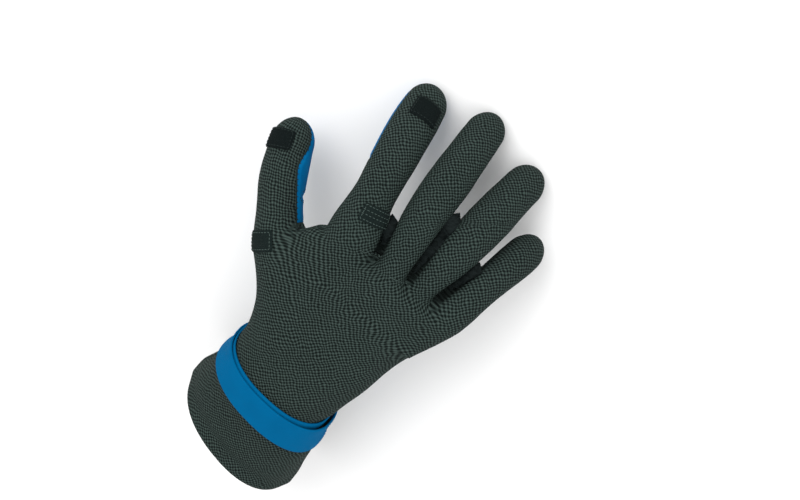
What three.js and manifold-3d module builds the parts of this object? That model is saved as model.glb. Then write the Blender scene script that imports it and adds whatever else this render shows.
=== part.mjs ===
// A right-hand fishing glove of neoprene, lying palm down on a surface as it was taken off, still filled
// out and slightly curled. A back panel and a palm panel are seamed along the sides of the cuff, hand and
// fingers. Thumb and index finger end in smooth pads on the palm side, slit across so that the tip can be
// folded back. A hook patch on the back of each of these tips and a loop patch nearer its root hold the
// folded tip. A strap winds round the wrist and closes on itself.
// Millimetres, +Z up, +Y from the cuff to the finger tips, the thumb towards -X. While the shape is worked
// out, y is 0 in the middle of the wrist.
import * as THREE from "three";
import { mergeVertices } from "three/addons/utils/BufferGeometryUtils.js";
import Module from "manifold-3d";

const wasm = await Module();
wasm.setup();

// Cloth and clearances
const WALL = 2.5;
const PATCH_THICKNESS = 1.2;
const STRAP_THICKNESS = 1.2;
const TAB_THICKNESS = 0.9;
const SEAM_GAP = 0.3;
const PATCH_GAP = 0.35;
const STRAP_GAP = 0.45;
const SETTLE = 3;
const RIM_REST = 7;

// Cuff, wrist and palm
const CUFF_LENGTH = 52;
const CUFF_WIDTH = 82;
const CUFF_DEPTH = 74;
const WRIST_WIDTH = 65;
const WRIST_DEPTH = 48;
const WRIST_HEIGHT = 55;
const PALM_LENGTH = 99;
const PALM_WIDTH = 98;
const PALM_DEPTH = 30;
const KNUCKLE_HEIGHT = 58;
const KNUCKLE_ROUNDING = 7;
const PALM_SQUARENESS = 2.3;

// Fingers and thumb, each length from its crotch to its tip
const INDEX_LENGTH = 97;
const MIDDLE_LENGTH = 103;
const RING_LENGTH = 94;
const LITTLE_LENGTH = 69;
const THUMB_LENGTH = 73;
const FINGER_WIDTH = 24;
const LITTLE_WIDTH = 22;
const THUMB_WIDTH = 25.5;
const FINGER_FLATNESS = 0.96;
const TIP_ROUNDING = 13;

// Pads, patches and strap
const INDEX_PAD_LENGTH = 55;
const THUMB_PAD_LENGTH = 58;
const SLIT_CUT_DEPTH = 9;
const THUMB_TIP_PATCH_LENGTH = 11;
const THUMB_TIP_PATCH_WIDTH = 17;
const INDEX_TIP_PATCH_LENGTH = 12;
const INDEX_TIP_PATCH_WIDTH = 17;
const THUMB_BASE_PATCH_LENGTH = 10.5;
const THUMB_BASE_PATCH_WIDTH = 17;
const INDEX_BASE_PATCH_LENGTH = 9;
const INDEX_BASE_PATCH_WIDTH = 19;
const STRAP_WIDTH = 17;
const STRAP_PLACE = -3.2;
const STRAP_START = 202.5;
const STRAP_TURNS = 1.625;
const STRAP_OFFSET = 0.7;
const TAB_WIDTH = 14;
const TAB_TURNS = 0.125;

// How finely the surfaces are drawn
const HAND_SIDES = 32;
const CUFF_RINGS = 4;
const PALM_RINGS = 8;
const FINGER_SIDES = 18;
const LINING_SIDES = 20;
const LINING_RINGS = 6;
const FINGER_LINING_SIDES = 10;
const FINGER_RINGS = 8;
const CAP_RINGS = 5;
const SPINE_STEPS = 48;
const BLOCK_RINGS = 8;
const PATCH_STEPS = 6;
const SLIT_STEPS = 12;
const STRAP_STEPS = 2;

// How far the shapes that cut reach past what they cut
const BLOCK_MARGIN = 1;
const RIM_OVERRUN = 6;

// Rows of the hand's sections. along is a share of the cuff's or the palm's length from the middle of the
// wrist, side a share of the palm's width, and turn, lean and roll are degrees about the upright, the
// crosswise and the lengthwise axis. width, depth and height say how far the section has gone from one end
// of its stretch to the other, from rim to wrist on the cuff and from wrist to knuckles on the palm. The
// second row is where the cuff's rim stops lying flat.
const HAND_ROWS = [
  { along: -1, side: -0.062, turn: 13, lean: 6, roll: 0, width: 0, depth: 0, height: 0 },
  {
    along: RIM_REST / CUFF_LENGTH - 1, side: -0.061, turn: 13, lean: 6, roll: 0, width: 0.04, depth: 0.05,
    height: 0.03,
  },
  { along: -0.7, side: -0.057, turn: 12, lean: 9, roll: 0, width: 0.14, depth: 0.25, height: 0.3 },
  { along: -0.4, side: -0.045, turn: 10, lean: 12, roll: 0, width: 0.42, depth: 0.6, height: 0.62 },
  { along: -0.15, side: -0.04, turn: 8, lean: 14, roll: 0, width: 0.86, depth: 0.92, height: 0.9 },
  { along: 0, side: -0.04, turn: 7, lean: 14, roll: 0, width: 0, depth: 0, height: 0 },
  { along: 0.14, side: -0.043, turn: 5, lean: 11, roll: 0, width: 0.1, depth: 0.04, height: 0.3 },
  { along: 0.34, side: -0.038, turn: 2, lean: 8, roll: 1, width: 0.35, depth: 0.2, height: 0.65 },
  { along: 0.56, side: -0.048, turn: 0, lean: 4, roll: 2, width: 0.63, depth: 0.45, height: 0.9 },
  { along: 0.82, side: 0, turn: 0, lean: 0, roll: 4, width: 0.87, depth: 0.75, height: 1 },
  { along: 1, side: 0.08, turn: 0, lean: -4, roll: 5, width: 0.79, depth: 1, height: 1 },
];

// Widths along a finger as shares of its own width, from crotch to tip.
const FINGER_GIRTHS = [
  { share: 0.28, girth: 0.99 },
  { share: 0.5, girth: 1.02 },
  { share: 0.74, girth: 0.95 },
  { share: 1, girth: 0.88 },
];
const INDEX_GIRTHS = [
  { share: 0.28, girth: 0.99 },
  { share: 0.5, girth: 1.03 },
  { share: 0.74, girth: 1.04 },
  { share: 1, girth: 0.95 },
];
const LITTLE_GIRTHS = [
  { share: 0.28, girth: 0.92 },
  { share: 0.5, girth: 0.9 },
  { share: 0.74, girth: 0.93 },
  { share: 1, girth: 0.88 },
];
const THUMB_GIRTHS = [
  { share: 0.3, girth: 1.01 },
  { share: 0.55, girth: 1.04 },
  { share: 0.8, girth: 0.96 },
  { share: 1, girth: 0.84 },
];

// Rows of the fingers. root is how far the finger starts inside the palm, side the crotch's place as a share
// of the palm's width, behind how far it lies behind the palm's end as a share of the palm's length, and low
// how far it lies under the palm's middle as a share of the palm's depth. hidden and crotch are the girths
// where it starts and at the crotch. heading is in degrees from +Y towards +X and turns by bend up to the
// tip, roll turns the finger's back towards +X, and tilts are the slopes down at the three shares of its
// length.
const TILT_SHARES = [0, 0.5, 1];
const FINGER_ROWS = [
  {
    name: "thumb", length: THUMB_LENGTH, width: THUMB_WIDTH, girths: THUMB_GIRTHS, root: 44, hidden: 0.8,
    crotch: 1.18, side: -0.5, behind: 0.36, low: 0.2, heading: -47, bend: 27, roll: -38, tilts: [12, 26, 34],
  },
  {
    name: "index", length: INDEX_LENGTH, width: FINGER_WIDTH, girths: INDEX_GIRTHS, root: 26, hidden: 0.7,
    crotch: 1.28, side: -0.228, behind: 0, low: 0, heading: -13, bend: 0, roll: 18, tilts: [13, 39, 64],
  },
  {
    name: "middle", length: MIDDLE_LENGTH, width: FINGER_WIDTH, girths: FINGER_GIRTHS, root: 26, hidden: 0.7,
    crotch: 0.88, side: 0.037, behind: 0, low: -0.03, heading: -7, bend: 3.5, roll: 0, tilts: [12, 37, 58],
  },
  {
    name: "ring", length: RING_LENGTH, width: FINGER_WIDTH, girths: FINGER_GIRTHS, root: 26, hidden: 0.7,
    crotch: 0.78, side: 0.235, behind: 0, low: 0, heading: 4, bend: 7, roll: 0, tilts: [12, 39, 62],
  },
  {
    name: "little", length: LITTLE_LENGTH, width: LITTLE_WIDTH, girths: LITTLE_GIRTHS, root: 30, hidden: 0.5,
    crotch: 1.02, side: 0.43, behind: 0.03, low: 0, heading: 13, bend: 8, roll: 4, tilts: [14, 44, 66],
  },
];

// Rows of the pads and of the slit across each, all measured from the finger's tip.
const PAD_ROWS = [
  {
    name: "thumb_pad", limb: "thumb", length: THUMB_PAD_LENGTH,
    slit: { fromTip: 43, chord: 21, bow: 1, wide: 5, narrow: 3 },
  },
  {
    name: "index_pad", limb: "index", length: INDEX_PAD_LENGTH,
    slit: { fromTip: 39, chord: 16.5, bow: 3, wide: 2.8, narrow: 2.4 },
  },
];

// Rows of the patches. place is the middle as a share of the finger's length from its crotch, offset is
// degrees round from the middle of its back towards its right side, and width is measured round the finger.
const PATCH_ROWS = [
  {
    name: "thumb_tip_patch", limb: "thumb", place: 0.79, offset: 14,
    length: THUMB_TIP_PATCH_LENGTH, width: THUMB_TIP_PATCH_WIDTH,
  },
  {
    name: "thumb_base_patch", limb: "thumb", place: 0.085, offset: 11,
    length: THUMB_BASE_PATCH_LENGTH, width: THUMB_BASE_PATCH_WIDTH,
  },
  {
    name: "index_tip_patch", limb: "index", place: 0.775, offset: 2,
    length: INDEX_TIP_PATCH_LENGTH, width: INDEX_TIP_PATCH_WIDTH,
  },
  {
    name: "index_base_patch", limb: "index", place: 0.17, offset: 18,
    length: INDEX_BASE_PATCH_LENGTH, width: INDEX_BASE_PATCH_WIDTH,
  },
];

// Rows of the strap's lift along its turns: whole layers of the strap, and the share of room for the hook
// tab.
const STRAP_LIFTS = [
  { turns: 0, layers: 0, tab: 0 },
  { turns: 0.78, layers: 0, tab: 0 },
  { turns: 0.96, layers: 1, tab: 0 },
  { turns: 1.36, layers: 1, tab: 0 },
  { turns: 1.49, layers: 1, tab: 1 },
  { turns: 1.7, layers: 1, tab: 1 },
];

const radians = THREE.MathUtils.degToRad;
const mix = THREE.MathUtils.lerp;
const clamp = THREE.MathUtils.clamp;
const UP = new THREE.Vector3(0, 0, 1);

// Value of a column between the rows of a table, on a smooth curve through them.
function between(rows, key, column, at) {
  const last = rows.length - 1;
  const slope = (i) => {
    const a = rows[Math.max(0, i - 1)];
    const b = rows[Math.min(last, i + 1)];
    return (b[column] - a[column]) / (b[key] - a[key]);
  };
  let i = 0;
  while (i < last - 1 && at > rows[i + 1][key]) i++;
  const step = rows[i + 1][key] - rows[i][key];
  const t = clamp((at - rows[i][key]) / step, 0, 1);
  const t2 = t * t;
  const t3 = t2 * t;
  return (
    (2 * t3 - 3 * t2 + 1) * rows[i][column] +
    (t3 - 2 * t2 + t) * step * slope(i) +
    (3 * t2 - 2 * t3) * rows[i + 1][column] +
    (t3 - t2) * step * slope(i + 1)
  );
}

// The hand's rows as real sizes, in the order of the table.
const CUFF_ENDS = {
  length: CUFF_LENGTH,
  width: [CUFF_WIDTH, WRIST_WIDTH],
  depth: [CUFF_DEPTH, WRIST_DEPTH],
  height: [CUFF_DEPTH / 2 - SETTLE, WRIST_HEIGHT],
};
const PALM_ENDS = {
  length: PALM_LENGTH,
  width: [WRIST_WIDTH, PALM_WIDTH],
  depth: [WRIST_DEPTH, PALM_DEPTH],
  height: [WRIST_HEIGHT, KNUCKLE_HEIGHT],
};
const HAND_SECTIONS = HAND_ROWS.map((row) => {
  const ends = row.along < 0 ? CUFF_ENDS : PALM_ENDS;
  return {
    y: row.along * ends.length,
    x: row.side * PALM_WIDTH,
    z: mix(...ends.height, row.height),
    halfWidth: mix(...ends.width, row.width) / 2,
    halfDepth: mix(...ends.depth, row.depth) / 2,
    turn: row.turn,
    lean: row.lean,
    roll: row.roll,
  };
});

// The cuff, wrist and palm as one bent tube. section(at) gives the centre, the axes and the half sizes at a
// distance from the cuff's rim. A section turns about the upright, leans back and rolls as its row says.
function handLimb() {
  const start = HAND_SECTIONS[0].y;
  const value = (column, y) => between(HAND_SECTIONS, "y", column, y);
  return {
    length: PALM_LENGTH - start,
    capLength: KNUCKLE_ROUNDING,
    squareness: PALM_SQUARENESS,
    stationAt: (y) => y - start,
    section(at) {
      const y = Math.min(start + at, PALM_LENGTH);
      const turned = new THREE.Euler(
        radians(value("lean", y)),
        radians(value("roll", y)),
        radians(-value("turn", y)),
        "ZXY",
      );
      const across = new THREE.Vector3(1, 0, 0).applyEuler(turned);
      const along = new THREE.Vector3(0, 1, 0).applyEuler(turned);
      const centre = new THREE.Vector3(value("x", y), y, value("z", y));
      return {
        centre: centre.addScaledVector(along, start + at - y),
        along,
        across,
        up: new THREE.Vector3(0, 0, 1).applyEuler(turned),
        halfWidth: value("halfWidth", y),
        halfDepth: value("halfDepth", y),
      };
    },
  };
}

// A finger or the thumb. It starts root millimetres inside the palm and leaves the palm at its crotch, and
// its heading and slope change from there to the tip as its row says.
function fingerLimb(row, hand) {
  const length = row.root + row.length;
  const shareAt = (at) => (at - row.root) / (at < row.root ? row.root : row.length);
  const tilts = row.tilts.map((tilt, i) => ({ share: TILT_SHARES[i], tilt: radians(tilt) }));
  const girths = [{ share: -1, girth: row.hidden }, { share: 0, girth: row.crotch }, ...row.girths];
  const direction = (at) => {
    const share = clamp(shareAt(at), 0, 1);
    const tilt = between(tilts, "share", "tilt", share);
    const heading = radians(row.heading + row.bend * share);
    return new THREE.Vector3(
      Math.sin(heading) * Math.cos(tilt),
      Math.cos(heading) * Math.cos(tilt),
      -Math.sin(tilt),
    );
  };
  const knuckle = hand.section(hand.stationAt((1 - row.behind) * PALM_LENGTH));
  const crotch = knuckle.centre
    .addScaledVector(knuckle.across, row.side * PALM_WIDTH - knuckle.centre.x)
    .addScaledVector(knuckle.up, -row.low * PALM_DEPTH);
  const centres = [crotch.clone().addScaledVector(direction(0), -row.root)];
  for (let i = 0; i < SPINE_STEPS; i++) {
    const middle = ((i + 0.5) * length) / SPINE_STEPS;
    centres.push(centres[i].clone().addScaledVector(direction(middle), length / SPINE_STEPS));
  }
  return {
    length,
    root: row.root,
    capLength: TIP_ROUNDING,
    squareness: 2,
    section(at) {
      const place = clamp((at / length) * SPINE_STEPS, 0, SPINE_STEPS - 1e-6);
      const i = Math.floor(place);
      const along = direction(at);
      const across = new THREE.Vector3().crossVectors(along, UP).normalize();
      across.applyAxisAngle(along, radians(row.roll));
      const half = (between(girths, "share", "girth", clamp(shareAt(at), -1, 1)) * row.width) / 2;
      const centre = centres[i].clone().lerp(centres[i + 1], place - i);
      return {
        centre: centre.addScaledVector(along, Math.max(0, at - length)),
        along,
        across,
        up: new THREE.Vector3().crossVectors(across, along),
        halfWidth: half,
        halfDepth: half * FINGER_FLATNESS,
      };
    },
  };
}

// A point of a limb's surface, grown outwards by grow, at an angle from its right side over its back. The end
// closes in an ellipse, and what would dip under the surface that the glove lies on is pressed flat.
function surfacePoint(limb, at, angle, grow) {
  const beyond = Math.max(0, at - limb.length + limb.capLength) / (limb.capLength + grow);
  const closing = Math.sqrt(Math.max(0, 1 - beyond * beyond));
  const swell = (value) => Math.sign(value) * Math.abs(value) ** (2 / limb.squareness);
  const s = limb.section(at);
  const point = s.centre
    .addScaledVector(s.across, swell(Math.cos(angle)) * (s.halfWidth + grow) * closing)
    .addScaledVector(s.up, swell(Math.sin(angle)) * (s.halfDepth + grow) * closing);
  point.z = Math.max(point.z, Math.max(0, -grow));
  return point;
}

// Closed geometry over rings of equally many points, the ends closed by a fan round their middle.
function overRings(rings) {
  const sides = rings[0].length;
  const points = rings.flat();
  const faces = [];
  for (let r = 0; r + 1 < rings.length; r++) {
    for (let i = 0; i < sides; i++) {
      const a = r * sides + i;
      const b = r * sides + ((i + 1) % sides);
      faces.push(a, b + sides, b, a, a + sides, b + sides);
    }
  }
  const middle = (ring) => ring.reduce((sum, p) => sum.add(p), new THREE.Vector3()).divideScalar(sides);
  const close = (ring, first, turn) => {
    points.push(middle(ring));
    for (let i = 0; i < sides; i++) {
      const pair = [first + i, first + ((i + 1) % sides)];
      faces.push(pair[turn], pair[1 - turn], points.length - 1);
    }
  };
  close(rings[0], 0, 0);
  close(rings.at(-1), (rings.length - 1) * sides, 1);
  const geometry = new THREE.BufferGeometry().setFromPoints(points);
  geometry.setIndex(faces);
  return geometry;
}

// Closed geometry of a sheet between an upper and a lower grid of points, each an array of equally long rows.
function overGrids(upper, lower) {
  const columns = upper[0].length;
  const lowerStart = upper.length * columns;
  const faces = [];
  const wall = (p, q) => faces.push(p, q, q + lowerStart, p, q + lowerStart, p + lowerStart);
  for (let r = 0; r + 1 < upper.length; r++) {
    for (let c = 0; c + 1 < columns; c++) {
      const a = r * columns + c;
      const b = a + columns;
      faces.push(a, b, a + 1, a + 1, b, b + 1);
      faces.push(...[a, a + 1, b, a + 1, b + 1, b].map((i) => i + lowerStart));
    }
    wall((r + 1) * columns, r * columns);
    wall((r + 1) * columns - 1, (r + 2) * columns - 1);
  }
  for (let c = 0; c + 1 < columns; c++) {
    wall(c, c + 1);
    wall(lowerStart - columns + c + 1, lowerStart - columns + c);
  }
  const geometry = new THREE.BufferGeometry().setFromPoints([...upper.flat(), ...lower.flat()]);
  geometry.setIndex(faces);
  return geometry;
}

function toSolid(geometry) {
  const bare = geometry.clone();
  bare.deleteAttribute("normal");
  bare.deleteAttribute("uv");
  const merged = mergeVertices(bare, 1e-4);
  return new wasm.Manifold(
    new wasm.Mesh({
      numProp: 3,
      vertProperties: merged.attributes.position.array,
      triVerts: new Uint32Array(merged.index.array),
    }),
  );
}

function toGeometry(solid) {
  const mesh = solid.getMesh();
  const geometry = new THREE.BufferGeometry();
  geometry.setAttribute("position", new THREE.BufferAttribute(new Float32Array(mesh.vertProperties), 3));
  geometry.setIndex(new THREE.BufferAttribute(new Uint32Array(mesh.triVerts), 1));
  geometry.computeVertexNormals();
  return geometry;
}

const joined = (solids) => solids.reduce((sum, solid) => sum.add(solid));
const largest = (solid) => solid.decompose().reduce((a, b) => (a.volume() > b.volume() ? a : b));

// Points that lie evenly from first to last, both taken in.
const evenly = (first, last, steps) =>
  Array.from({ length: steps + 1 }, (_, i) => mix(first, last, i / steps));

// A limb as a solid, grown by grow, with rings at the given distances along it and on round its closed end.
function limbSolid(limb, stations, grow, sides) {
  const bodyEnd = limb.length - limb.capLength;
  const rounding = evenly(0, 1, CAP_RINGS).slice(1, -1);
  const capLength = limb.capLength + grow;
  const closing = rounding.map((share) => bodyEnd + capLength * Math.sin((share * Math.PI) / 2));
  const angles = evenly(0, 2 * Math.PI, sides).slice(0, -1);
  const ring = (at) => angles.map((angle) => surfacePoint(limb, at, angle, grow));
  return toSolid(overRings([...stations, ...closing].map(ring)));
}

// Stations of the hand, with one where the rim stops lying flat, one at each edge of the strap and one under
// its middle.
function handStations(hand, from, cuffRings, palmRings) {
  const strap = hand.stationAt(STRAP_PLACE);
  return [
    from,
    ...evenly(RIM_REST, strap - STRAP_WIDTH / 2, cuffRings),
    strap,
    ...evenly(strap + STRAP_WIDTH / 2, hand.length - hand.capLength, palmRings),
  ];
}

const fingerStations = (limb, rings) => evenly(0, limb.length - limb.capLength, rings);

// A block that holds the part of a limb above its side seams, or below them, between two distances along it.
function seamBlock(limb, from, to, side, lap) {
  const ring = (at) => {
    const s = limb.section(at);
    const reach = s.halfWidth + BLOCK_MARGIN + lap;
    const high = side * (s.halfDepth + BLOCK_MARGIN);
    const corners = [[1, -side * lap], [1, high], [-1, high], [-1, -side * lap]];
    if (side < 0) corners.reverse();
    return corners.map(([across, up]) =>
      s.centre.clone().addScaledVector(s.across, across * reach).addScaledVector(s.up, up));
  };
  return toSolid(overRings(evenly(from, to, BLOCK_RINGS).map(ring)));
}

// A piece of cloth laid over a limb's back: a sheet between two grows, from one distance and angle to
// another.
function laidOn(limb, row) {
  const middle = limb.section(row.at);
  const halfTurn = row.width / 2 / (middle.halfWidth + SEAM_GAP);
  const centre = Math.PI / 2 - radians(row.offset);
  const angles = evenly(centre - halfTurn, centre + halfTurn, PATCH_STEPS);
  const stations = evenly(row.at - row.length / 2, row.at + row.length / 2, PATCH_STEPS);
  const grid = (grow) => stations.map((at) => angles.map((angle) => surfacePoint(limb, at, angle, grow)));
  return toSolid(overGrids(grid(PATCH_GAP + PATCH_THICKNESS), grid(PATCH_GAP)));
}

// The slit's outline, wider towards one end and bowed towards the finger tip.
function slitShape(slit) {
  const edge = (side) =>
    evenly(-1, 1, SLIT_STEPS).map((t) => {
      const half = (mix(slit.narrow, slit.wide, (t + 1) / 2) / 2) * Math.sqrt(1 - t ** 6);
      return new THREE.Vector2((t * slit.chord) / 2, slit.bow * (1 - t * t) + side * half);
    });
  return new THREE.Shape([...edge(-1), ...edge(1).slice(1, -1).reverse()]);
}

// A prism of the slit's outline that cuts through the wall under a finger.
function slitCutter(limb, slit) {
  const s = limb.section(limb.length - slit.fromTip);
  const geometry = new THREE.ExtrudeGeometry(slitShape(slit), { depth: SLIT_CUT_DEPTH, bevelEnabled: false });
  const foot = s.centre.clone().addScaledVector(s.up, -s.halfDepth - WALL);
  const frame = new THREE.Matrix4().makeBasis(s.across, s.along, s.up).setPosition(foot);
  return toSolid(geometry.applyMatrix4(frame));
}

// A band wound round the wrist, from one number of turns to another. lift gives its lower side's distance
// from the wrist's surface.
function woundBand(hand, from, to, width, thickness, lift) {
  const windings = evenly(from, to, Math.round((to - from) * HAND_SIDES));
  const grid = (extra) =>
    windings.map((turns) => {
      const middle = hand.stationAt(STRAP_PLACE) + mix(STRAP_OFFSET, -STRAP_OFFSET, turns / STRAP_TURNS);
      const angle = radians(STRAP_START - turns * 360);
      return evenly(middle - width / 2, middle + width / 2, STRAP_STEPS).map((at) =>
        surfacePoint(hand, at, angle, lift(turns) + extra));
    });
  return toSolid(overGrids(grid(thickness), grid(0)));
}

const hand = handLimb();
const fingers = Object.fromEntries(FINGER_ROWS.map((row) => [row.name, fingerLimb(row, hand)]));
const limbs = Object.values(fingers);

// The whole glove as one hollow shell, open at the rim.
const outside = joined([
  limbSolid(hand, handStations(hand, 0, CUFF_RINGS, PALM_RINGS), 0, HAND_SIDES),
  ...limbs.map((limb) => limbSolid(limb, fingerStations(limb, FINGER_RINGS), 0, FINGER_SIDES)),
]);
const inside = joined([
  limbSolid(hand, handStations(hand, -RIM_OVERRUN, CUFF_RINGS, LINING_RINGS), -WALL, LINING_SIDES),
  ...limbs.map((limb) => limbSolid(limb, fingerStations(limb, LINING_RINGS), -WALL, FINGER_LINING_SIDES)),
]);
const shell = outside.subtract(inside);

// The part above the side seams, which the back panel keeps and the palm side leaves free by a gap.
const aboveSeams = (lap) => joined([
  seamBlock(hand, -RIM_OVERRUN, hand.length + RIM_OVERRUN, 1, lap),
  ...limbs.map((limb) => seamBlock(limb, 0, limb.length + RIM_OVERRUN, 1, lap)),
]);
const backPanel = largest(shell.intersect(aboveSeams(0)));
const palmSide = largest(shell.subtract(aboveSeams(SEAM_GAP)));

// The part below the seams that a pad takes up, out to the finger's tip.
const padBlock = ({ limb, length }, lap) => {
  const finger = fingers[limb];
  return seamBlock(finger, finger.length - length - lap, finger.length + RIM_OVERRUN, -1, SEAM_GAP / 10);
};
const pads = PAD_ROWS.map((row) => {
  const whole = largest(palmSide.intersect(padBlock(row, 0)));
  return { name: row.name, solid: whole.subtract(slitCutter(fingers[row.limb], row.slit)) };
});
const palmPanel = largest(PAD_ROWS.reduce((rest, row) => rest.subtract(padBlock(row, SEAM_GAP)), palmSide));

const patches = PATCH_ROWS.map((row) => {
  const finger = fingers[row.limb];
  const at = mix(finger.root, finger.length, row.place);
  return { name: row.name, solid: laidOn(finger, { ...row, at }) };
});

// The strap passes over its own start and, at its free end, over the hook tab.
const LAYER = STRAP_THICKNESS + SEAM_GAP;
const TAB_ROOM = TAB_THICKNESS + SEAM_GAP;
const strapLift = (column, turns) => between(STRAP_LIFTS, "turns", column, turns);
const layerLift = (turns) => STRAP_GAP + strapLift("layers", turns) * LAYER;
const fullLift = (turns) => layerLift(turns) + strapLift("tab", turns) * TAB_ROOM;
const strap = woundBand(hand, 0, STRAP_TURNS, STRAP_WIDTH, STRAP_THICKNESS, fullLift);
const tab = woundBand(hand, STRAP_TURNS - TAB_TURNS, STRAP_TURNS, TAB_WIDTH, TAB_THICKNESS, layerLift);

const PITTED_NEOPRENE = { color: 0x2e3a36, roughness: 0.92, metalness: 0 };
const BLUE_NEOPRENE = { color: 0x016298, roughness: 0.75, metalness: 0 };
const FASTENER_CLOTH = { color: 0x141e1d, roughness: 0.98, metalness: 0 };
const BLUE_STRAP = { color: 0x066da4, roughness: 0.7, metalness: 0 };

const glove = new THREE.Group();
glove.name = "fishing_glove";
function addPiece(name, solid, cloth) {
  const piece = new THREE.Mesh(toGeometry(solid), new THREE.MeshStandardMaterial(cloth));
  piece.name = name;
  glove.add(piece);
}
addPiece("back_panel", backPanel, PITTED_NEOPRENE);
addPiece("palm_panel", palmPanel, PITTED_NEOPRENE);
for (const { name, solid } of pads) addPiece(name, solid, BLUE_NEOPRENE);
for (const { name, solid } of patches) addPiece(name, solid, FASTENER_CLOTH);
addPiece("wrist_strap", strap, BLUE_STRAP);
addPiece("strap_hook_tab", tab, FASTENER_CLOTH);

// The origin is the middle of the footprint, on the surface that the glove lies on.
const bounds = new THREE.Box3().setFromObject(glove);
const middle = bounds.getCenter(new THREE.Vector3());
glove.children.forEach((piece) => piece.geometry.translate(-middle.x, -middle.y, -bounds.min.z));

export default glove;
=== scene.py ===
"""Looks of a neoprene fishing glove that lies palm down, with its pads, patches, strap and stitches.

Shapes are worked out in millimetres, with y at 0 in the middle of the wrist, and are then placed in metres
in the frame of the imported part.
"""

import logging
import math
from dataclasses import dataclass, field
from enum import Enum
from typing import Callable, Sequence

import bpy
import numpy as np
from mathutils import Matrix, Vector, noise
from mathutils.bvhtree import BVHTree


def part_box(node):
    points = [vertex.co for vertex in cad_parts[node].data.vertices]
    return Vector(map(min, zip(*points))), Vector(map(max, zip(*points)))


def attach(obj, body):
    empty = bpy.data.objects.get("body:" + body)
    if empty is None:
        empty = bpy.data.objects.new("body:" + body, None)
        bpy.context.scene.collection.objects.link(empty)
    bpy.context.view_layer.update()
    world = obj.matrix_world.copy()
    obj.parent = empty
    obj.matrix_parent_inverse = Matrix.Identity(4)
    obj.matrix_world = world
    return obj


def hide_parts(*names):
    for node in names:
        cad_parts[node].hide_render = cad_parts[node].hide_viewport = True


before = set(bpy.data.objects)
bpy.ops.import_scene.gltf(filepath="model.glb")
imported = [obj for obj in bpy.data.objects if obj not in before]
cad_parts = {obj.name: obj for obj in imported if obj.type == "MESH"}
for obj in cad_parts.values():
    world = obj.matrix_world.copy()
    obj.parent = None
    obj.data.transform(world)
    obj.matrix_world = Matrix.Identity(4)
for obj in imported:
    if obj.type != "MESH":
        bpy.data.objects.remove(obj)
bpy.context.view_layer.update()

LOG = logging.getLogger("glove")
Array = np.ndarray
Colour = tuple[float, float, float, float]
Socket = bpy.types.NodeSocket

# Cloth and clearances, in millimetres
PATCH_THICKNESS = 1.2
STRAP_THICKNESS = 1.2
TAB_THICKNESS = 0.9
SEAM_GAP = 0.3
STRAP_GAP = 0.45
SETTLE = 3.0
RIM_REST = 7.0
RIM_OVERRUN = 6.0

# Cuff, wrist and palm
CUFF_LENGTH = 52.0
CUFF_WIDTH = 82.0
CUFF_DEPTH = 74.0
WRIST_WIDTH = 65.0
WRIST_DEPTH = 48.0
WRIST_HEIGHT = 55.0
PALM_LENGTH = 99.0
PALM_WIDTH = 98.0
PALM_DEPTH = 30.0
KNUCKLE_HEIGHT = 58.0
KNUCKLE_ROUNDING = 7.0
PALM_SQUARENESS = 2.3

# Fingers
FINGER_FLATNESS = 0.96
TIP_ROUNDING = 13.0

# The thumb's seam: its drops towards the palm side, at distances from the thumb's tip
THUMB_SEAM_PLACES = (0.0, 13.0, 17.0, 21.5, 28.0, 38.0, 48.0, 57.0, 62.0, 73.0)
THUMB_SEAM_DROPS = (2.5, 3.4, 2.9, 1.0, -0.7, 1.3, 3.4, 3.8, 3.0, 0.0)
THUMB_SEAM_RISE = 6

# Soft forms that only the cloth shows, in millimetres
RIM_POINT = 2.2
RIM_POINT_WIDTH = 8
RIM_BULGE = 1.1
RIM_BULGE_RISE = 18
WRIST_SHIFT = 1.4
STRAP_SPREAD = 1.15
CROTCH_CREASE = 2.6
SEAM_PRESS = 0.42
SEAM_PRESS_WIDTH = 0.95
PAD_PRESS = 0.35
PAD_PRESS_WIDTH = 0.9
PAD_SWELL = 0.22
CUFF_SWELL = 0.5
CUFF_SWELL_START = 3.5
CUFF_SWELL_WIDTH = 7
RIM_CALM = 0.35
CLOTH_WAVES = ((0.45, 26, 1), (0.16, 9, 2))

# How the limbs run into one another: softness in millimetres, and where past a finger's root it fades
WEB_SHARING = 3
JOINT_SOFTNESS = 0.25
WEB_FADE = (24, 4)
CLOTH_SHARING = 1.6
FLAT_SHARING = 0.6
FLAT_FADE = (26, 8)
FAR_OUTSIDE = -20.0

# Strap
STRAP_WIDTH = 17.0
STRAP_PLACE = -3.2
STRAP_START = 202.5
STRAP_TURNS = 1.625
STRAP_OFFSET = 0.7
TAB_WIDTH = 14.0
TAB_TURNS = 0.125
STRAP_SIDES = 32

# How finely the cloth is drawn, and how it is drawn onto the joined surface
VOXEL = 1.15
STATION_STEP = 1.0
SPINE_STEPS = 48
CLOSING_RINGS = 10
HAND_SIDES = 110
FINGER_SIDES = 56
RING_STEP = 2.0
FIT_TURNS = 6
FIT_LIMIT = 1.5
EVENING = 0.5
OPEN_END = -3

# How rays find the cloth from a place on a limb, in millimetres
PRESS_FROM = 4.5
PRESS_TO = -3.0
RAY_REACH = 30.0
OUT_SHARE = 0.6


@dataclass(frozen=True)
class HandRow:
    """One section of the cuff, wrist and palm, as shares and degrees."""

    along: float
    side: float
    turn: float
    lean: float
    roll: float
    width: float
    depth: float
    height: float


@dataclass(frozen=True)
class FingerRow:
    """One finger or the thumb: its length and width, its place on the palm and how it bends."""

    name: str
    length: float
    width: float
    girths: tuple[tuple[float, float], ...]
    root: float
    hidden: float
    crotch: float
    side: float
    behind: float
    low: float
    heading: float
    bend: float
    roll: float
    tilts: tuple[float, float, float]
    web: float


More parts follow.
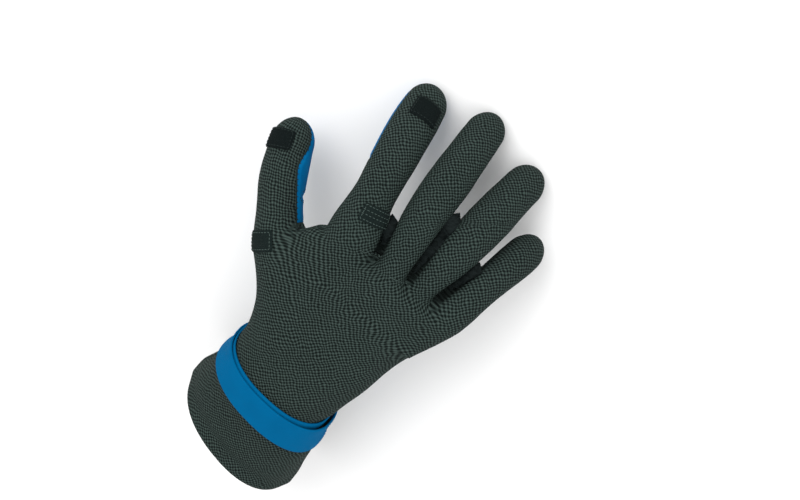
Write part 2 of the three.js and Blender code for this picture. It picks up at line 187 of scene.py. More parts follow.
@dataclass(frozen=True)
class SlitRow:
    """A slit across a pad: its distance from the tip, its chord, its bow and its width at each end."""

    from_tip: float
    chord: float
    bow: float
    wide: float
    narrow: float


class Fastener(Enum):
    """The two halves of a hook and loop fastener."""

    HOOK = "hook"
    LOOP = "loop"


HAND_ROWS = (
    HandRow(-1, -0.062, 13, 6, 0, 0, 0, 0),
    HandRow(RIM_REST / CUFF_LENGTH - 1, -0.061, 13, 6, 0, 0.04, 0.05, 0.03),
    HandRow(-0.7, -0.057, 12, 9, 0, 0.14, 0.25, 0.3),
    HandRow(-0.4, -0.045, 10, 12, 0, 0.42, 0.6, 0.62),
    HandRow(-0.15, -0.04, 8, 14, 0, 0.86, 0.92, 0.9),
    HandRow(0, -0.04, 7, 14, 0, 0, 0, 0),
    HandRow(0.14, -0.043, 5, 11, 0, 0.1, 0.04, 0.3),
    HandRow(0.34, -0.038, 2, 8, 1, 0.35, 0.2, 0.65),
    HandRow(0.56, -0.048, 0, 4, 2, 0.63, 0.45, 0.9),
    HandRow(0.82, 0, 0, 0, 4, 0.87, 0.75, 1),
    HandRow(1, 0.08, 0, -4, 5, 0.79, 1, 1),
)
THUMB_FLAT_SHIFT = 6
FINGER_GIRTHS = ((0.28, 0.99), (0.5, 1.02), (0.74, 0.95), (1, 0.88))
INDEX_GIRTHS = ((0.28, 0.99), (0.5, 1.03), (0.74, 1.04), (1, 0.95))
LITTLE_GIRTHS = ((0.28, 0.92), (0.5, 0.9), (0.74, 0.93), (1, 0.88))
THUMB_GIRTHS = ((0.3, 1.01), (0.55, 1.04), (0.8, 0.96), (1, 0.84))
TILT_SHARES = (0.0, 0.5, 1.0)
FINGER_ROWS = (
    FingerRow(
        "thumb", 73, 25.5, THUMB_GIRTHS, 44, 0.8, 1.18, -0.5, 0.36, 0.2, -47, 27, -38, (12, 26, 34), 4.5
    ),
    FingerRow(
        "index", 97, 24, INDEX_GIRTHS, 26, 0.7, 1.28, -0.228, 0, 0, -13, 0, 18, (13, 39, 64), 0.9
    ),
    FingerRow(
        "middle", 103, 24, FINGER_GIRTHS, 26, 0.7, 0.88, 0.037, 0, -0.03, -7, 3.5, 0, (12, 37, 58), 0.9
    ),
    FingerRow(
        "ring", 94, 24, FINGER_GIRTHS, 26, 0.7, 0.78, 0.235, 0, 0, 4, 7, 0, (12, 39, 62), 0.9
    ),
    FingerRow(
        "little", 69, 22, LITTLE_GIRTHS, 30, 0.5, 1.02, 0.43, 0.03, 0, 13, 8, 4, (14, 44, 66), 0.9
    ),
)
PAD_LENGTHS = {"thumb": 58.0, "index": 55.0}
SLITS = {"thumb": SlitRow(43, 21, 1, 5, 3), "index": SlitRow(39, 16.5, 3, 2.8, 2.4)}

# Bristles of hook and loop cloth, in metres and radians
BRISTLE_DENSITY = 4e6
BRISTLE_SEED = 3
BRISTLE_SIZES = {
    Fastener.HOOK: {"Spacing": 0.0008, "Bristle_Height": 0.00075, "Bristle_Radius": 0.00013, "Lean": 0.45},
    Fastener.LOOP: {"Spacing": 0.00065, "Bristle_Height": 0.0006, "Bristle_Radius": 0.0001, "Lean": 1.0},
}

# Turns, layers of strap and layers of tab below the strap
STRAP_LIFTS = (
    (0, 0, 0),
    (0.78, 0, 0),
    (0.96, 1, 0),
    (1.36, 1, 0),
    (1.49, 1, 1),
    (1.7, 1, 1),
)


def linear(red: int, green: int, blue: int) -> Colour:
    """Turns a screen colour into the linear colour that a shader takes.

    Args:
        red: Red from 0 to 255.
        green: Green from 0 to 255.
        blue: Blue from 0 to 255.

    Returns:
        Linear red, green and blue, and an alpha of 1.
    """

    def channel(value: int) -> float:
        """Returns one linear channel."""
        share = value / 255
        return share / 12.92 if share <= 0.04045 else ((share + 0.055) / 1.055) ** 2.4

    return (channel(red), channel(green), channel(blue), 1.0)


def darker(colour: Colour, share: float) -> Colour:
    """Returns a share of a colour's light."""
    return tuple(c * share for c in colour[:3]) + (1.0,)


def between(keys: Sequence[float], values: Sequence[float], at: Array) -> Array:
    """Reads a smooth curve through the rows of a table.

    Args:
        keys: The rows' places, rising.
        values: The value in each row.
        at: The places to read.

    Returns:
        The value at each place.
    """
    keys = np.asarray(keys, float)
    values = np.asarray(values, float)
    last = len(keys) - 1
    rows = np.arange(last + 1)
    before = np.maximum(rows - 1, 0)
    after = np.minimum(rows + 1, last)
    slopes = (values[after] - values[before]) / (keys[after] - keys[before])
    at = np.asarray(at, float)
    i = np.clip(np.searchsorted(keys, at, side="left") - 1, 0, last - 1)
    step = keys[i + 1] - keys[i]
    t = np.clip((at - keys[i]) / step, 0, 1)
    t2 = t * t
    t3 = t2 * t
    return (
        (2 * t3 - 3 * t2 + 1) * values[i]
        + (t3 - 2 * t2 + t) * step * slopes[i]
        + (3 * t2 - 2 * t3) * values[i + 1]
        + (t3 - t2) * step * slopes[i + 1]
    )


def smooth_step(low: float, high: float, value: Array) -> Array:
    """Rises smoothly from 0 at low to 1 at high, and falls where low is the larger."""
    t = np.clip((value - low) / (high - low), 0, 1)
    return t * t * (3 - 2 * t)


def unit(vectors: Array) -> Array:
    """Scales vectors to a length of 1."""
    return vectors / np.maximum(np.linalg.norm(vectors, axis=-1, keepdims=True), 1e-9)


def rotation(axis: Array, angle: Array, vectors: Array) -> Array:
    """Turns vectors about axes.

    Args:
        axis: The axes, of length 1.
        angle: The angles in radians.
        vectors: The vectors.

    Returns:
        The turned vectors.
    """
    cos = np.cos(angle)[..., None]
    sin = np.sin(angle)[..., None]
    along = (vectors * axis).sum(-1, keepdims=True)
    return vectors * cos + np.cross(axis, vectors) * sin + axis * along * (1 - cos)


@dataclass
class Limb:
    """A bent tube with a rounded end: the hand from cuff to knuckles, or one finger.

    The table holds a row for each millimetre along it: centre, direction along, across and up, and the
    section's half width and half depth.
    """

    name: str
    length: float
    cap: float
    squareness: float
    root: float
    web: float
    start: float
    table: Array
    flat_start: tuple[float, float] = (0.0, 0.0)
    flat_turn: float = 0.0
    arcs: Array = field(default_factory=lambda: np.zeros((1, 1)))

    def section(self, at: Array) -> Array:
        """Reads the table at distances along the limb.

        Args:
            at: Distances along the limb.

        Returns:
            One row of fourteen columns for each distance.
        """
        place = np.clip((at - self.start) / STATION_STEP, 0, len(self.table) - 1.0001)
        i = place.astype(int)
        t = (place - i)[..., None]
        return self.table[i] * (1 - t) + self.table[i + 1] * t

    def surface(self, at: Array, angle: Array, grow: Array) -> Array:
        """Finds points of the limb's surface.

        Args:
            at: Distances along the limb.
            angle: Angles from the right side over the back, in radians.
            grow: How far outside the surface the points lie.

        Returns:
            The points, pressed flat where they would dip under the floor.
        """
        at, angle, grow = np.broadcast_arrays(*(np.asarray(v, float) for v in (at, angle, grow)))
        row = self.section(at)
        beyond = np.maximum(0, at - self.length + self.cap) / (self.cap + grow)
        closing = np.sqrt(np.maximum(0, 1 - beyond**2))
        cos = np.cos(angle)
        sin = np.sin(angle)
        power = 2 / self.squareness
        x = np.sign(cos) * np.abs(cos) ** power * (row[..., 12] + grow) * closing
        y = np.sign(sin) * np.abs(sin) ** power * (row[..., 13] + grow) * closing
        points = row[..., 0:3] + row[..., 6:9] * x[..., None] + row[..., 9:12] * y[..., None]
        points[..., 2] = np.maximum(points[..., 2], np.maximum(0, -grow))
        return points

    def coordinates(self, points: Array) -> tuple[Array, Array, Array, Array]:
        """Finds where points lie in the limb's own sections.

        Args:
            points: Points in space.

        Returns:
            The distance along the limb, the distances across and up from its middle, and the distance
            from its surface, which is negative inside.
        """
        centres = self.table[:, :3]
        nearest = np.empty(len(points), int)
        for first in range(0, len(points), 20000):
            part = points[first : first + 20000]
            far = (centres**2).sum(1)[None, :] - 2 * part @ centres.T
            nearest[first : first + 20000] = far.argmin(1)
        low = self.start
        high = self.start + (len(self.table) - 1) * STATION_STEP
        at = low + nearest * STATION_STEP
        for _ in range(5):
            row = self.section(at)
            at = np.clip(at + ((points - row[:, 0:3]) * row[:, 3:6]).sum(1), low, high)
        row = self.section(at)
        away = points - row[:, 0:3]
        x = (away * row[:, 6:9]).sum(1)
        y = (away * row[:, 9:12]).sum(1)
        a = row[:, 12]
        b = row[:, 13]
        power = self.squareness
        rx = np.abs(x) / a
        ry = np.abs(y) / b
        r = np.maximum((rx**power + ry**power) ** (1 / power), 1e-4)
        gx = (rx / r) ** (power - 1) / a
        gy = (ry / r) ** (power - 1) / b
        beyond = np.maximum(0, at - self.length + self.cap) / self.cap
        total = np.sqrt(r**2 + beyond**2)
        slope = np.sqrt(r**2 * (gx**2 + gy**2) + (beyond / self.cap) ** 2) / total
        distance = (total - 1) / np.maximum(slope, 1e-4)
        first_row = self.section(np.zeros(1))[0]
        behind = -((points - first_row[0:3]) @ first_row[3:6])
        if self.name != "hand":
            distance = np.maximum(distance, behind)
        return at, x, y, distance

    def measure_arcs(self, steps: int = 32) -> None:
        """Fills the table of arc lengths from the middle of the back down to the side.

        Args:
            steps: How many steps a quarter of a section has.
        """
        angles = np.linspace(math.pi / 2, 0, steps + 1)
        power = 2 / self.squareness
        x = np.abs(np.cos(angles)) ** power
        y = np.abs(np.sin(angles)) ** power
        outline = np.stack([self.table[:, 12:13] * x, self.table[:, 13:14] * y], -1)
        pieces = np.linalg.norm(np.diff(outline, axis=1), axis=2)
        self.arcs = np.concatenate([np.zeros((len(self.table), 1)), np.cumsum(pieces, 1)], 1)

    def flat(self, at: Array, x: Array, y: Array, under: bool) -> Array:
        """Lays the cloth of the back or of the palm side out flat.

        Args:
            at: Distances along the limb.
            x: Distances across.
            y: Distances up.
            under: Whether the cloth is that of the palm side.

        Returns:
            Flat places in millimetres, in two columns.
        """
        row = self.section(at)
        half = self.squareness / 2
        rx = np.minimum(np.abs(x) / row[:, 12], 1e6) ** half
        ry = np.abs(y) / row[:, 13]
        ry = ry**half
        turned = np.arctan2(rx, ry)
        steps = self.arcs.shape[1] - 1
        place = np.clip(turned / (math.pi / 2) * steps, 0, steps - 1e-4)
        i = place.astype(int)
        t = place - i
        j = np.clip(((at - self.start) / STATION_STEP).astype(int), 0, len(self.arcs) - 1)
        arc = self.arcs[j, i] * (1 - t) + self.arcs[j, i + 1] * t
        whole = self.arcs[j, -1] * 2
        wrong_side = (y > 0) if under else (y < 0)
        arc = np.sign(x) * np.where(wrong_side, whole - arc, arc)
        cos = math.cos(self.flat_turn)
        sin = math.sin(self.flat_turn)
        run = at - self.root
        return np.stack(
            [self.flat_start[0] + arc * cos + run * sin, self.flat_start[1] - arc * sin + run * cos], 1
        )


def make_hand() -> Limb:
    """Builds the cuff, wrist and palm as one limb.

    Returns:
        The limb.
    """
    width = {False: (CUFF_WIDTH, WRIST_WIDTH), True: (WRIST_WIDTH, PALM_WIDTH)}
    depth = {False: (CUFF_DEPTH, WRIST_DEPTH), True: (WRIST_DEPTH, PALM_DEPTH)}
    height = {False: (CUFF_DEPTH / 2 - SETTLE, WRIST_HEIGHT), True: (WRIST_HEIGHT, KNUCKLE_HEIGHT)}
    rows = []
    for row in HAND_ROWS:
        palm = row.along >= 0
        reach = PALM_LENGTH if palm else CUFF_LENGTH

        def mixed(ends: tuple[float, float], share: float) -> float:
            """Returns the value that lies a share of the way between two ends."""
            return ends[0] + (ends[1] - ends[0]) * share

        rows.append(
            (
                row.along * reach,
                row.side * PALM_WIDTH,
                mixed(height[palm], row.height),
                mixed(width[palm], row.width) / 2,
                mixed(depth[palm], row.depth) / 2,
                row.turn,
                row.lean,
                row.roll,
            )
        )
    columns = np.array(rows, float).T
    start = columns[0][0]
    length = PALM_LENGTH - start
    at = np.arange(-RIM_OVERRUN - 2, length + 12, STATION_STEP)
    y = np.minimum(start + at, PALM_LENGTH)
    x, z, half_width, half_depth, turn, lean, roll = (between(columns[0], c, y) for c in columns[1:])
    table = np.empty((len(at), 14))
    for i in range(len(at)):
        turned = (
            Matrix.Rotation(math.radians(-turn[i]), 3, "Z")
            @ Matrix.Rotation(math.radians(lean[i]), 3, "X")
            @ Matrix.Rotation(math.radians(roll[i]), 3, "Y")
        )
        across, along, up = (np.array(turned.col[c]) for c in range(3))
        centre = np.array((x[i], y[i], z[i])) + along * (start + at[i] - y[i])
        table[i] = (*centre, *along, *across, *up, half_width[i], half_depth[i])
    hand = Limb("hand", length, KNUCKLE_ROUNDING, PALM_SQUARENESS, 0.0, 0.0, at[0], table)
    hand.measure_arcs()
    return hand


def make_finger(row: FingerRow, hand: Limb) -> Limb:
    """Builds a finger as a limb that starts inside the palm.

    Args:
        row: The finger's row.
        hand: The hand that it grows from.

    Returns:
        The finger.
    """
    length = row.root + row.length
    girth_keys = (-1.0, 0.0, *(g[0] for g in row.girths))
    girth_values = (row.hidden, row.crotch, *(g[1] for g in row.girths))

    def share_at(at: Array) -> Array:
        """Returns distances along the finger as shares, negative inside the palm."""
        return (at - row.root) / np.where(at < row.root, row.root, row.length)

    def direction(at: Array) -> Array:
        """Finds the finger's direction.

        Args:
            at: Distances along it.

        Returns:
            One direction for each distance.
        """
        share = np.clip(share_at(at), 0, 1)
        tilt = between(TILT_SHARES, np.radians(row.tilts), share)
        heading = np.radians(row.heading + row.bend * share)
        return np.stack(
            [np.sin(heading) * np.cos(tilt), np.cos(heading) * np.cos(tilt), -np.sin(tilt)], -1
        )

    station = (1 - row.behind) * PALM_LENGTH + CUFF_LENGTH
    knuckle = hand.section(np.array([station]))[0]
    shift = row.side * PALM_WIDTH - knuckle[0]
    crotch = knuckle[0:3] + knuckle[6:9] * shift - knuckle[9:12] * row.low * PALM_DEPTH
    middles = (np.arange(SPINE_STEPS) + 0.5) * length / SPINE_STEPS
    steps = direction(middles) * length / SPINE_STEPS
    first = crotch - direction(np.zeros(1))[0] * row.root
    centres = np.concatenate([first[None], first + np.cumsum(steps, 0)])
    at = np.arange(0, length + 14, STATION_STEP)
    along = direction(at)
    across = unit(np.cross(along, (0.0, 0.0, 1.0)))
    across = rotation(along, np.full(len(at), math.radians(row.roll)), across)
    up = np.cross(across, along)
    half = between(girth_keys, girth_values, np.clip(share_at(at), -1, 1)) * row.width / 2
    place = np.clip(at / length * SPINE_STEPS, 0, SPINE_STEPS - 1e-6)
    i = place.astype(int)
    t = (place - i)[:, None]
    centre = centres[i] * (1 - t) + centres[i + 1] * t + along * np.maximum(0, at - length)[:, None]
    table = np.concatenate([centre, along, across, up, half[:, None], half[:, None] * FINGER_FLATNESS], 1)
    finger = Limb(row.name, length, TIP_ROUNDING, 2.0, row.root, row.web, 0.0, table)
    reach = float(np.clip(abs(shift), 0, knuckle[12]))
    arc = reach + THUMB_FLAT_SHIFT if row.name == "thumb" else reach
    finger.flat_start = (math.copysign(arc, shift), station)
    finger.flat_turn = math.radians(row.heading)
    finger.measure_arcs()
    return finger


def tube_faces(rings: int, sides: int) -> list[tuple[int, ...]]:
    """Lists the faces of a tube that is closed at both ends.

    Args:
        rings: How many rings of points it has.
        sides: How many points each ring has.

    Returns:
        The faces, the two ends last.
    """
    faces: list[tuple[int, ...]] = []
    for r in range(rings - 1):
        for i in range(sides):
            a = r * sides + i
            b = r * sides + (i + 1) % sides
            faces.append((a, a + sides, b + sides, b))
    last = (rings - 1) * sides
    faces.append(tuple(range(sides)))
    faces.append(tuple(last + i for i in reversed(range(sides))))
    return faces


def loft(limb: Limb, sides: int, step: float) -> tuple[Array, list[tuple[int, ...]]]:
    """Draws a limb as a closed mesh.

    Args:
        limb: The limb.
        sides: How many points each ring has.
        step: How far apart the rings are.

    Returns:
        The points and the faces.
    """
    start = -RIM_OVERRUN if limb.name == "hand" else 0.0
    body_end = limb.length - limb.cap
    rings = np.linspace(start, body_end, round((body_end - start) / step) + 1)
    closing = body_end + limb.cap * np.sin(np.linspace(0, math.pi / 2, CLOSING_RINGS)[1:-1])
    stations = np.concatenate([rings, closing])
    angles = np.arange(sides) / sides * 2 * math.pi
    points = limb.surface(stations[:, None], angles[None, :], 0.0).reshape(-1, 3)
    return points, tube_faces(len(stations), sides)


def corner_normals(points: Array, triangles: Array) -> Array:
    """Works out smooth normals.

    Args:
        points: The points of a mesh.
        triangles: Its triangles.

    Returns:
        One normal for each point.
    """
    a, b, c = (points[triangles[:, i]] for i in range(3))
    face = np.cross(b - a, c - a)
    normals = np.zeros_like(points)
    for i in range(3):
        np.add.at(normals, triangles[:, i], face)
    return unit(normals)


def new_object(name: str, data: bpy.types.ID) -> bpy.types.Object:
    """Makes an object and links it to the scene.

    Args:
        name: The object's name.
        data: Its mesh, light or camera.

    Returns:
        The object.
    """
    made = bpy.data.objects.new(name, data)
    bpy.context.scene.collection.objects.link(made)
    return made


def mesh_object(name: str, points: Array, faces: Sequence[Sequence[int]]) -> bpy.types.Object:
    """Makes a mesh object and links it to the scene.

    Args:
        name: The object's name.
        points: Its points.
        faces: Its faces, as rows of point numbers.

    Returns:
        The object.
    """
    data = bpy.data.meshes.new(name)
    data.from_pydata([tuple(p) for p in np.asarray(points).tolist()], [], [tuple(f) for f in faces])
    data.update()
    return new_object(name, data)


def applied(source: bpy.types.Object) -> bpy.types.Mesh:
    """Works out an object's modifiers.

    Args:
        source: The object, which stays as it is.

    Returns:
        The resulting mesh.
    """
    bpy.context.view_layer.update()
    graph = bpy.context.evaluated_depsgraph_get()
    return bpy.data.meshes.new_from_object(source.evaluated_get(graph))


def make_plain(piece: bpy.types.Object, modifier: bpy.types.Modifier) -> None:
    """Gives an object its modifier's result as a plain mesh, and removes the modifier.

    Args:
        piece: The object.
        modifier: Its only modifier.
    """
    made = applied(piece)
    piece.modifiers.remove(modifier)
    old = piece.data
    piece.data = made
    bpy.data.meshes.remove(old)


def path_edges(number: int, closed: bool) -> Array:
    """Lists the edges of a path through numbered points, back to its start where it is closed."""
    return np.array([(i, (i + 1) % number) for i in range(number if closed else number - 1)])


def square_path(steps: int) -> tuple[Array, Array]:
    """Walks once round a square that reaches from -1 to 1.

    Args:
        steps: How many points each side has, its corners among them.

    Returns:
        The places across and along.
    """
    t = np.linspace(-1, 1, steps)[:-1]
    one = np.ones_like(t)
    return np.concatenate([t, one, -t, -one]), np.concatenate([-one, t, one, -t])


@dataclass
class Placement:
    """The way from the shapes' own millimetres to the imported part's metres."""

    offset: Array

    def place(self, points: Array) -> Array:
        """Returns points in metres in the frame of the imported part."""
        return (np.asarray(points, float) + self.offset) / 1000


@dataclass
class Skin:
    """The glove's outer surface as triangles, with values at each point."""

    points: Array
    triangles: Array
    values: dict[str, Array]

    def split(self, name: str, snap: float = 0.12) -> None:
        """Cuts the triangles along the line where a value is 0.

        Args:
            name: The value's name.
            snap: How near to 0 a point counts as lying on the line.
        """
        value = np.where(np.abs(self.values[name]) < snap, 0.0, self.values[name])
        self.values[name] = value
        side = np.sign(value).astype(int)
        corner = side[self.triangles]
        mixed = (corner.max(1) > 0) & (corner.min(1) < 0)
        cuts: dict[tuple[int, int], int] = {}
        parents: list[tuple[int, int, float]] = []
        made: list[tuple[int, int, int]] = []
        count = len(self.points)
        for triangle in self.triangles[mixed]:
            above: list[int] = []
            below: list[int] = []
            for a, b in ((0, 1), (1, 2), (2, 0)):
                p, q = int(triangle[a]), int(triangle[b])
                if side[p] >= 0:
                    above.append(p)
                if side[p] <= 0:
                    below.append(p)
                if side[p] * side[q] < 0:
                    key = (min(p, q), max(p, q))
                    if key not in cuts:
                        cuts[key] = count + len(parents)
                        parents.append((*key, value[key[0]] / (value[key[0]] - value[key[1]])))
                    above.append(cuts[key])
                    below.append(cuts[key])
            for loop in (above, below):
                made.extend((loop[0], loop[i], loop[i + 1]) for i in range(1, len(loop) - 1))
        self.triangles = np.concatenate([self.triangles[~mixed], np.array(made, int).reshape(-1, 3)])
        first, second, share = (np.array(column) for column in zip(*parents))
        first = first.astype(int)
        second = second.astype(int)

        def added(column: Array) -> Array:
            """Returns a column of values with those of the new points behind it."""
            t = share.reshape(-1, *([1] * (column.ndim - 1)))
            return np.concatenate([column, column[first] * (1 - t) + column[second] * t])

        self.points = added(self.points)
        self.values = {key: added(column) for key, column in self.values.items()}
        self.values[name][count:] = 0.0

    def over(self, name: str) -> Array:
        """Tells for each triangle whether a value is above 0 on it."""
        return self.values[name][self.triangles].mean(1) > 0

    def part(self, mask: Array) -> "Skin":
        """Takes a part of the skin out.

        Args:
            mask: Which triangles it has.

        Returns:
            The part as a skin of its own.
        """
        used, renumbered = np.unique(self.triangles[mask], return_inverse=True)
        values = {key: column[used] for key, column in self.values.items()}
        return Skin(self.points[used], renumbered.reshape(-1, 3), values)

    def border(self) -> Array:
        """Finds the edges that only one triangle has.

        Returns:
            Pairs of point numbers, in the direction of their triangles.
        """
        edges = np.concatenate([self.triangles[:, [i, (i + 1) % 3]] for i in range(3)])
        keys = np.sort(edges, 1)
        _, inverse, counts = np.unique(keys, axis=0, return_inverse=True, return_counts=True)
        return edges[counts[inverse.ravel()] == 1]


def build_skin(limbs: Sequence[Limb]) -> Skin:
    """Joins the limbs into one soft surface, with rounded webs between the fingers.

    Args:
        limbs: The hand first, then the fingers.

    Returns:
        The closed outer surface, past the cuff's rim too.
    """
    points: list[Array] = []
    faces: list[tuple[int, ...]] = []
    total = 0
    for limb in limbs:
        sides = HAND_SIDES if limb.name == "hand" else FINGER_SIDES
        ring_points, ring_faces = loft(limb, sides, RING_STEP)
        points.append(ring_points)
        faces.extend(tuple(i + total for i in f) for f in ring_faces)
        total += len(ring_points)
    rough = mesh_object("rough_glove", np.concatenate(points), faces)
    remesh = rough.modifiers.new("join", "REMESH")
    remesh.mode = "VOXEL"
    remesh.voxel_size = VOXEL
    data = applied(rough)
    count = len(data.vertices)
    flat = np.empty(count * 3)
    data.vertices.foreach_get("co", flat)
    skin_points = flat.reshape(-1, 3).copy()
    data.calc_loop_triangles()
    corners = np.empty(len(data.loop_triangles) * 3, np.int32)
    data.loop_triangles.foreach_get("vertices", corners)
    triangles = corners.reshape(-1, 3).astype(int)
    edge_ends = np.empty(len(data.edges) * 2, np.int32)
    data.edges.foreach_get("vertices", edge_ends)
    edges = edge_ends.reshape(-1, 2)
    bpy.data.objects.remove(rough)
    bpy.data.meshes.remove(data)
    degree = np.bincount(edges.ravel(), minlength=count)[:, None]
    for turn in range(FIT_TURNS):
        joined = joined_distance(limbs, skin_points)
        normals = corner_normals(skin_points, triangles)
        step = np.clip(joined.distance, -FIT_LIMIT, FIT_LIMIT) * (joined.at[:, 0] > OPEN_END)
        skin_points -= normals * step[:, None]
        if turn < FIT_TURNS - 1:
            total_near = np.zeros_like(skin_points)
            np.add.at(total_near, edges[:, 0], skin_points[edges[:, 1]])
            np.add.at(total_near, edges[:, 1], skin_points[edges[:, 0]])
            drift = total_near / degree - skin_points
            drift -= normals * (drift * normals).sum(1, keepdims=True)
            skin_points += drift * EVENING
        skin_points[:, 2] = np.maximum(skin_points[:, 2], 0)
    joined = joined_distance(limbs, skin_points)
    return measured_skin(limbs, skin_points, triangles, joined)


@dataclass
class Joined:
    """What the limbs say of a set of points: one column for each limb."""

    distance: Array
    weights: Array
    at: Array
    x: Array
    y: Array


def joined_distance(limbs: Sequence[Limb], points: Array) -> Joined:
    """Measures how far points lie from the limbs' softly joined surface.

    Args:
        limbs: The hand first, then the fingers.
        points: The points.

    Returns:
        The distances, and each limb's share and coordinates.
    """
    columns = [limb.coordinates(points) for limb in limbs]
    at, x, y, far = (np.stack([column[i] for column in columns], 1) for i in range(4))
    finger_far = far[:, 1:]
    shares = np.exp(-(finger_far - finger_far.min(1, keepdims=True)) / WEB_SHARING)
    shares /= shares.sum(1, keepdims=True)
    webs = np.array([limb.web for limb in limbs[1:]])
    roots = np.array([limb.root for limb in limbs[1:]])
    soft = JOINT_SOFTNESS + (webs - JOINT_SOFTNESS) * smooth_step(*WEB_FADE, at[:, 1:] - roots)
    softness = (shares * soft).sum(1, keepdims=True)
    nearest = far.min(1, keepdims=True)
    spread = np.exp(-(far - nearest) / softness)
    distance = nearest[:, 0] - softness[:, 0] * np.log(spread.sum(1))
    weights = np.exp(-(far - nearest) / CLOTH_SHARING)
    weights /= weights.sum(1, keepdims=True)
    return Joined(distance, weights, at, x, y)


def measured_skin(limbs: Sequence[Limb], points: Array, triangles: Array, joined: Joined) -> Skin:
    """Gives each point of the skin its seam heights, its pads' reach and its place on the flat cloth.

    Args:
        limbs: The hand first, then the fingers.
        points: The skin's points.
        triangles: Its triangles.
        joined: What the limbs say of the points.

    Returns:
        The skin with its values.
    """
    height = joined.y.copy()
    from_tip = np.clip(limbs[1].length - joined.at[:, 1], 0, THUMB_SEAM_PLACES[-1])
    drop = between(THUMB_SEAM_PLACES, THUMB_SEAM_DROPS, from_tip)
    height[:, 1] += drop * smooth_step(0, THUMB_SEAM_RISE, joined.x[:, 1])
    crown = np.clip(1 - (joined.x[:, 0] / (CUFF_WIDTH / 2)) ** 2, 0, 1)
    crown *= smooth_step(0, RIM_BULGE_RISE, joined.y[:, 0])
    meets = joined.weights[:, 2:-1] * joined.weights[:, 3:]
    values = {
        "seam": (joined.weights * height).sum(1),
        "rim": joined.at[:, 0] + RIM_BULGE * crown,
        "normal": corner_normals(points, triangles),
        "own_hand": joined.weights[:, 0],
        "hand_at": joined.at[:, 0],
        "hand_side": np.clip(joined.x[:, 0] / (WRIST_WIDTH / 2), -1, 1),
        # The crease share where two fingers meet: it presses the groove between them in, and it paints shade
        # into that groove in the cloth's colour.
        "crease": np.clip(4 * meets.sum(1), 0, 1),
    }
    past = np.min([joined.at[:, i] - limb.root for i, limb in enumerate(limbs) if i], axis=0)
    wide = joined.weights ** (1 - FLAT_SHARING * smooth_step(*FLAT_FADE, past))[:, None]
    wide /= wide.sum(1, keepdims=True)
    for side in ("cloth_back", "cloth_under"):
        places = [
            limb.flat(joined.at[:, i], joined.x[:, i], joined.y[:, i], side == "cloth_under")
            for i, limb in enumerate(limbs)
        ]
        values[side] = (np.stack(places, 1) * wide[:, :, None]).sum(1)
    for i, limb in enumerate(limbs):
        if limb.name in PAD_LENGTHS:
            reach = joined.at[:, i] - (limb.length - PAD_LENGTHS[limb.name])
            values["pad_" + limb.name] = np.where(joined.weights[:, i] > 0.5, reach, FAR_OUTSIDE)
    return Skin(points, triangles, values)


def wobble(points: Array, size: float, seed: float) -> Array:
    """Returns gentle noise between -1 and 1 at each point.

    Args:
        points: The points.
        size: How far apart the noise's bumps lie.
        seed: A number that picks the noise.

    Returns:
        One value for each point.
    """
    shift = Vector((seed * 7.3, seed * 3.1, seed * 5.7))
    return np.array([noise.noise(Vector(p) / size + shift) for p in points.tolist()])


def shape_details(skin: Skin) -> None:
    """Presses the seams in, lets the cuff swell beside the strap and leaves the cloth slightly uneven.

    Args:
        skin: The skin, whose points are moved.
    """
    normals = skin.values["normal"]
    seam = np.abs(skin.values["seam"])
    push = -SEAM_PRESS * np.exp(-((seam / SEAM_PRESS_WIDTH) ** 2))
    under = smooth_step(1.0, -1.0, skin.values["seam"])
    for name in PAD_LENGTHS:
        reach = skin.values["pad_" + name]
        push -= PAD_PRESS * np.exp(-((np.abs(reach) / PAD_PRESS_WIDTH) ** 2)) * under
        push += PAD_SWELL * smooth_step(0, 3, reach) * under * smooth_step(0.4, 2.4, seam)
    hand_at = skin.values["hand_at"]
    own = skin.values["own_hand"]
    beside = np.abs(hand_at - CUFF_LENGTH - STRAP_PLACE) - STRAP_WIDTH / 2
    past_swell = np.maximum(beside - CUFF_SWELL_START, 0) / CUFF_SWELL_WIDTH
    push -= own * WRIST_SHIFT * skin.values["hand_side"] * smooth_step(9, 0, beside)
    push += own * CUFF_SWELL * smooth_step(0.5, CUFF_SWELL_START, beside) * np.exp(-(past_swell**2))
    calm = RIM_CALM + (1 - RIM_CALM) * smooth_step(-4, 20, hand_at)
    calm *= smooth_step(-2, 1, beside) * own + (1 - own)
    push += sum(rise * wobble(skin.points, size, seed) for rise, size, seed in CLOTH_WAVES) * calm
    push += own * RIM_POINT * np.exp(-((seam / RIM_POINT_WIDTH) ** 2)) * smooth_step(32, 2, hand_at)
    push -= CROTCH_CREASE * skin.values["crease"]
    skin.points = skin.points + normals * push[:, None]
    skin.points[:, 2] = np.maximum(skin.points[:, 2], 0)


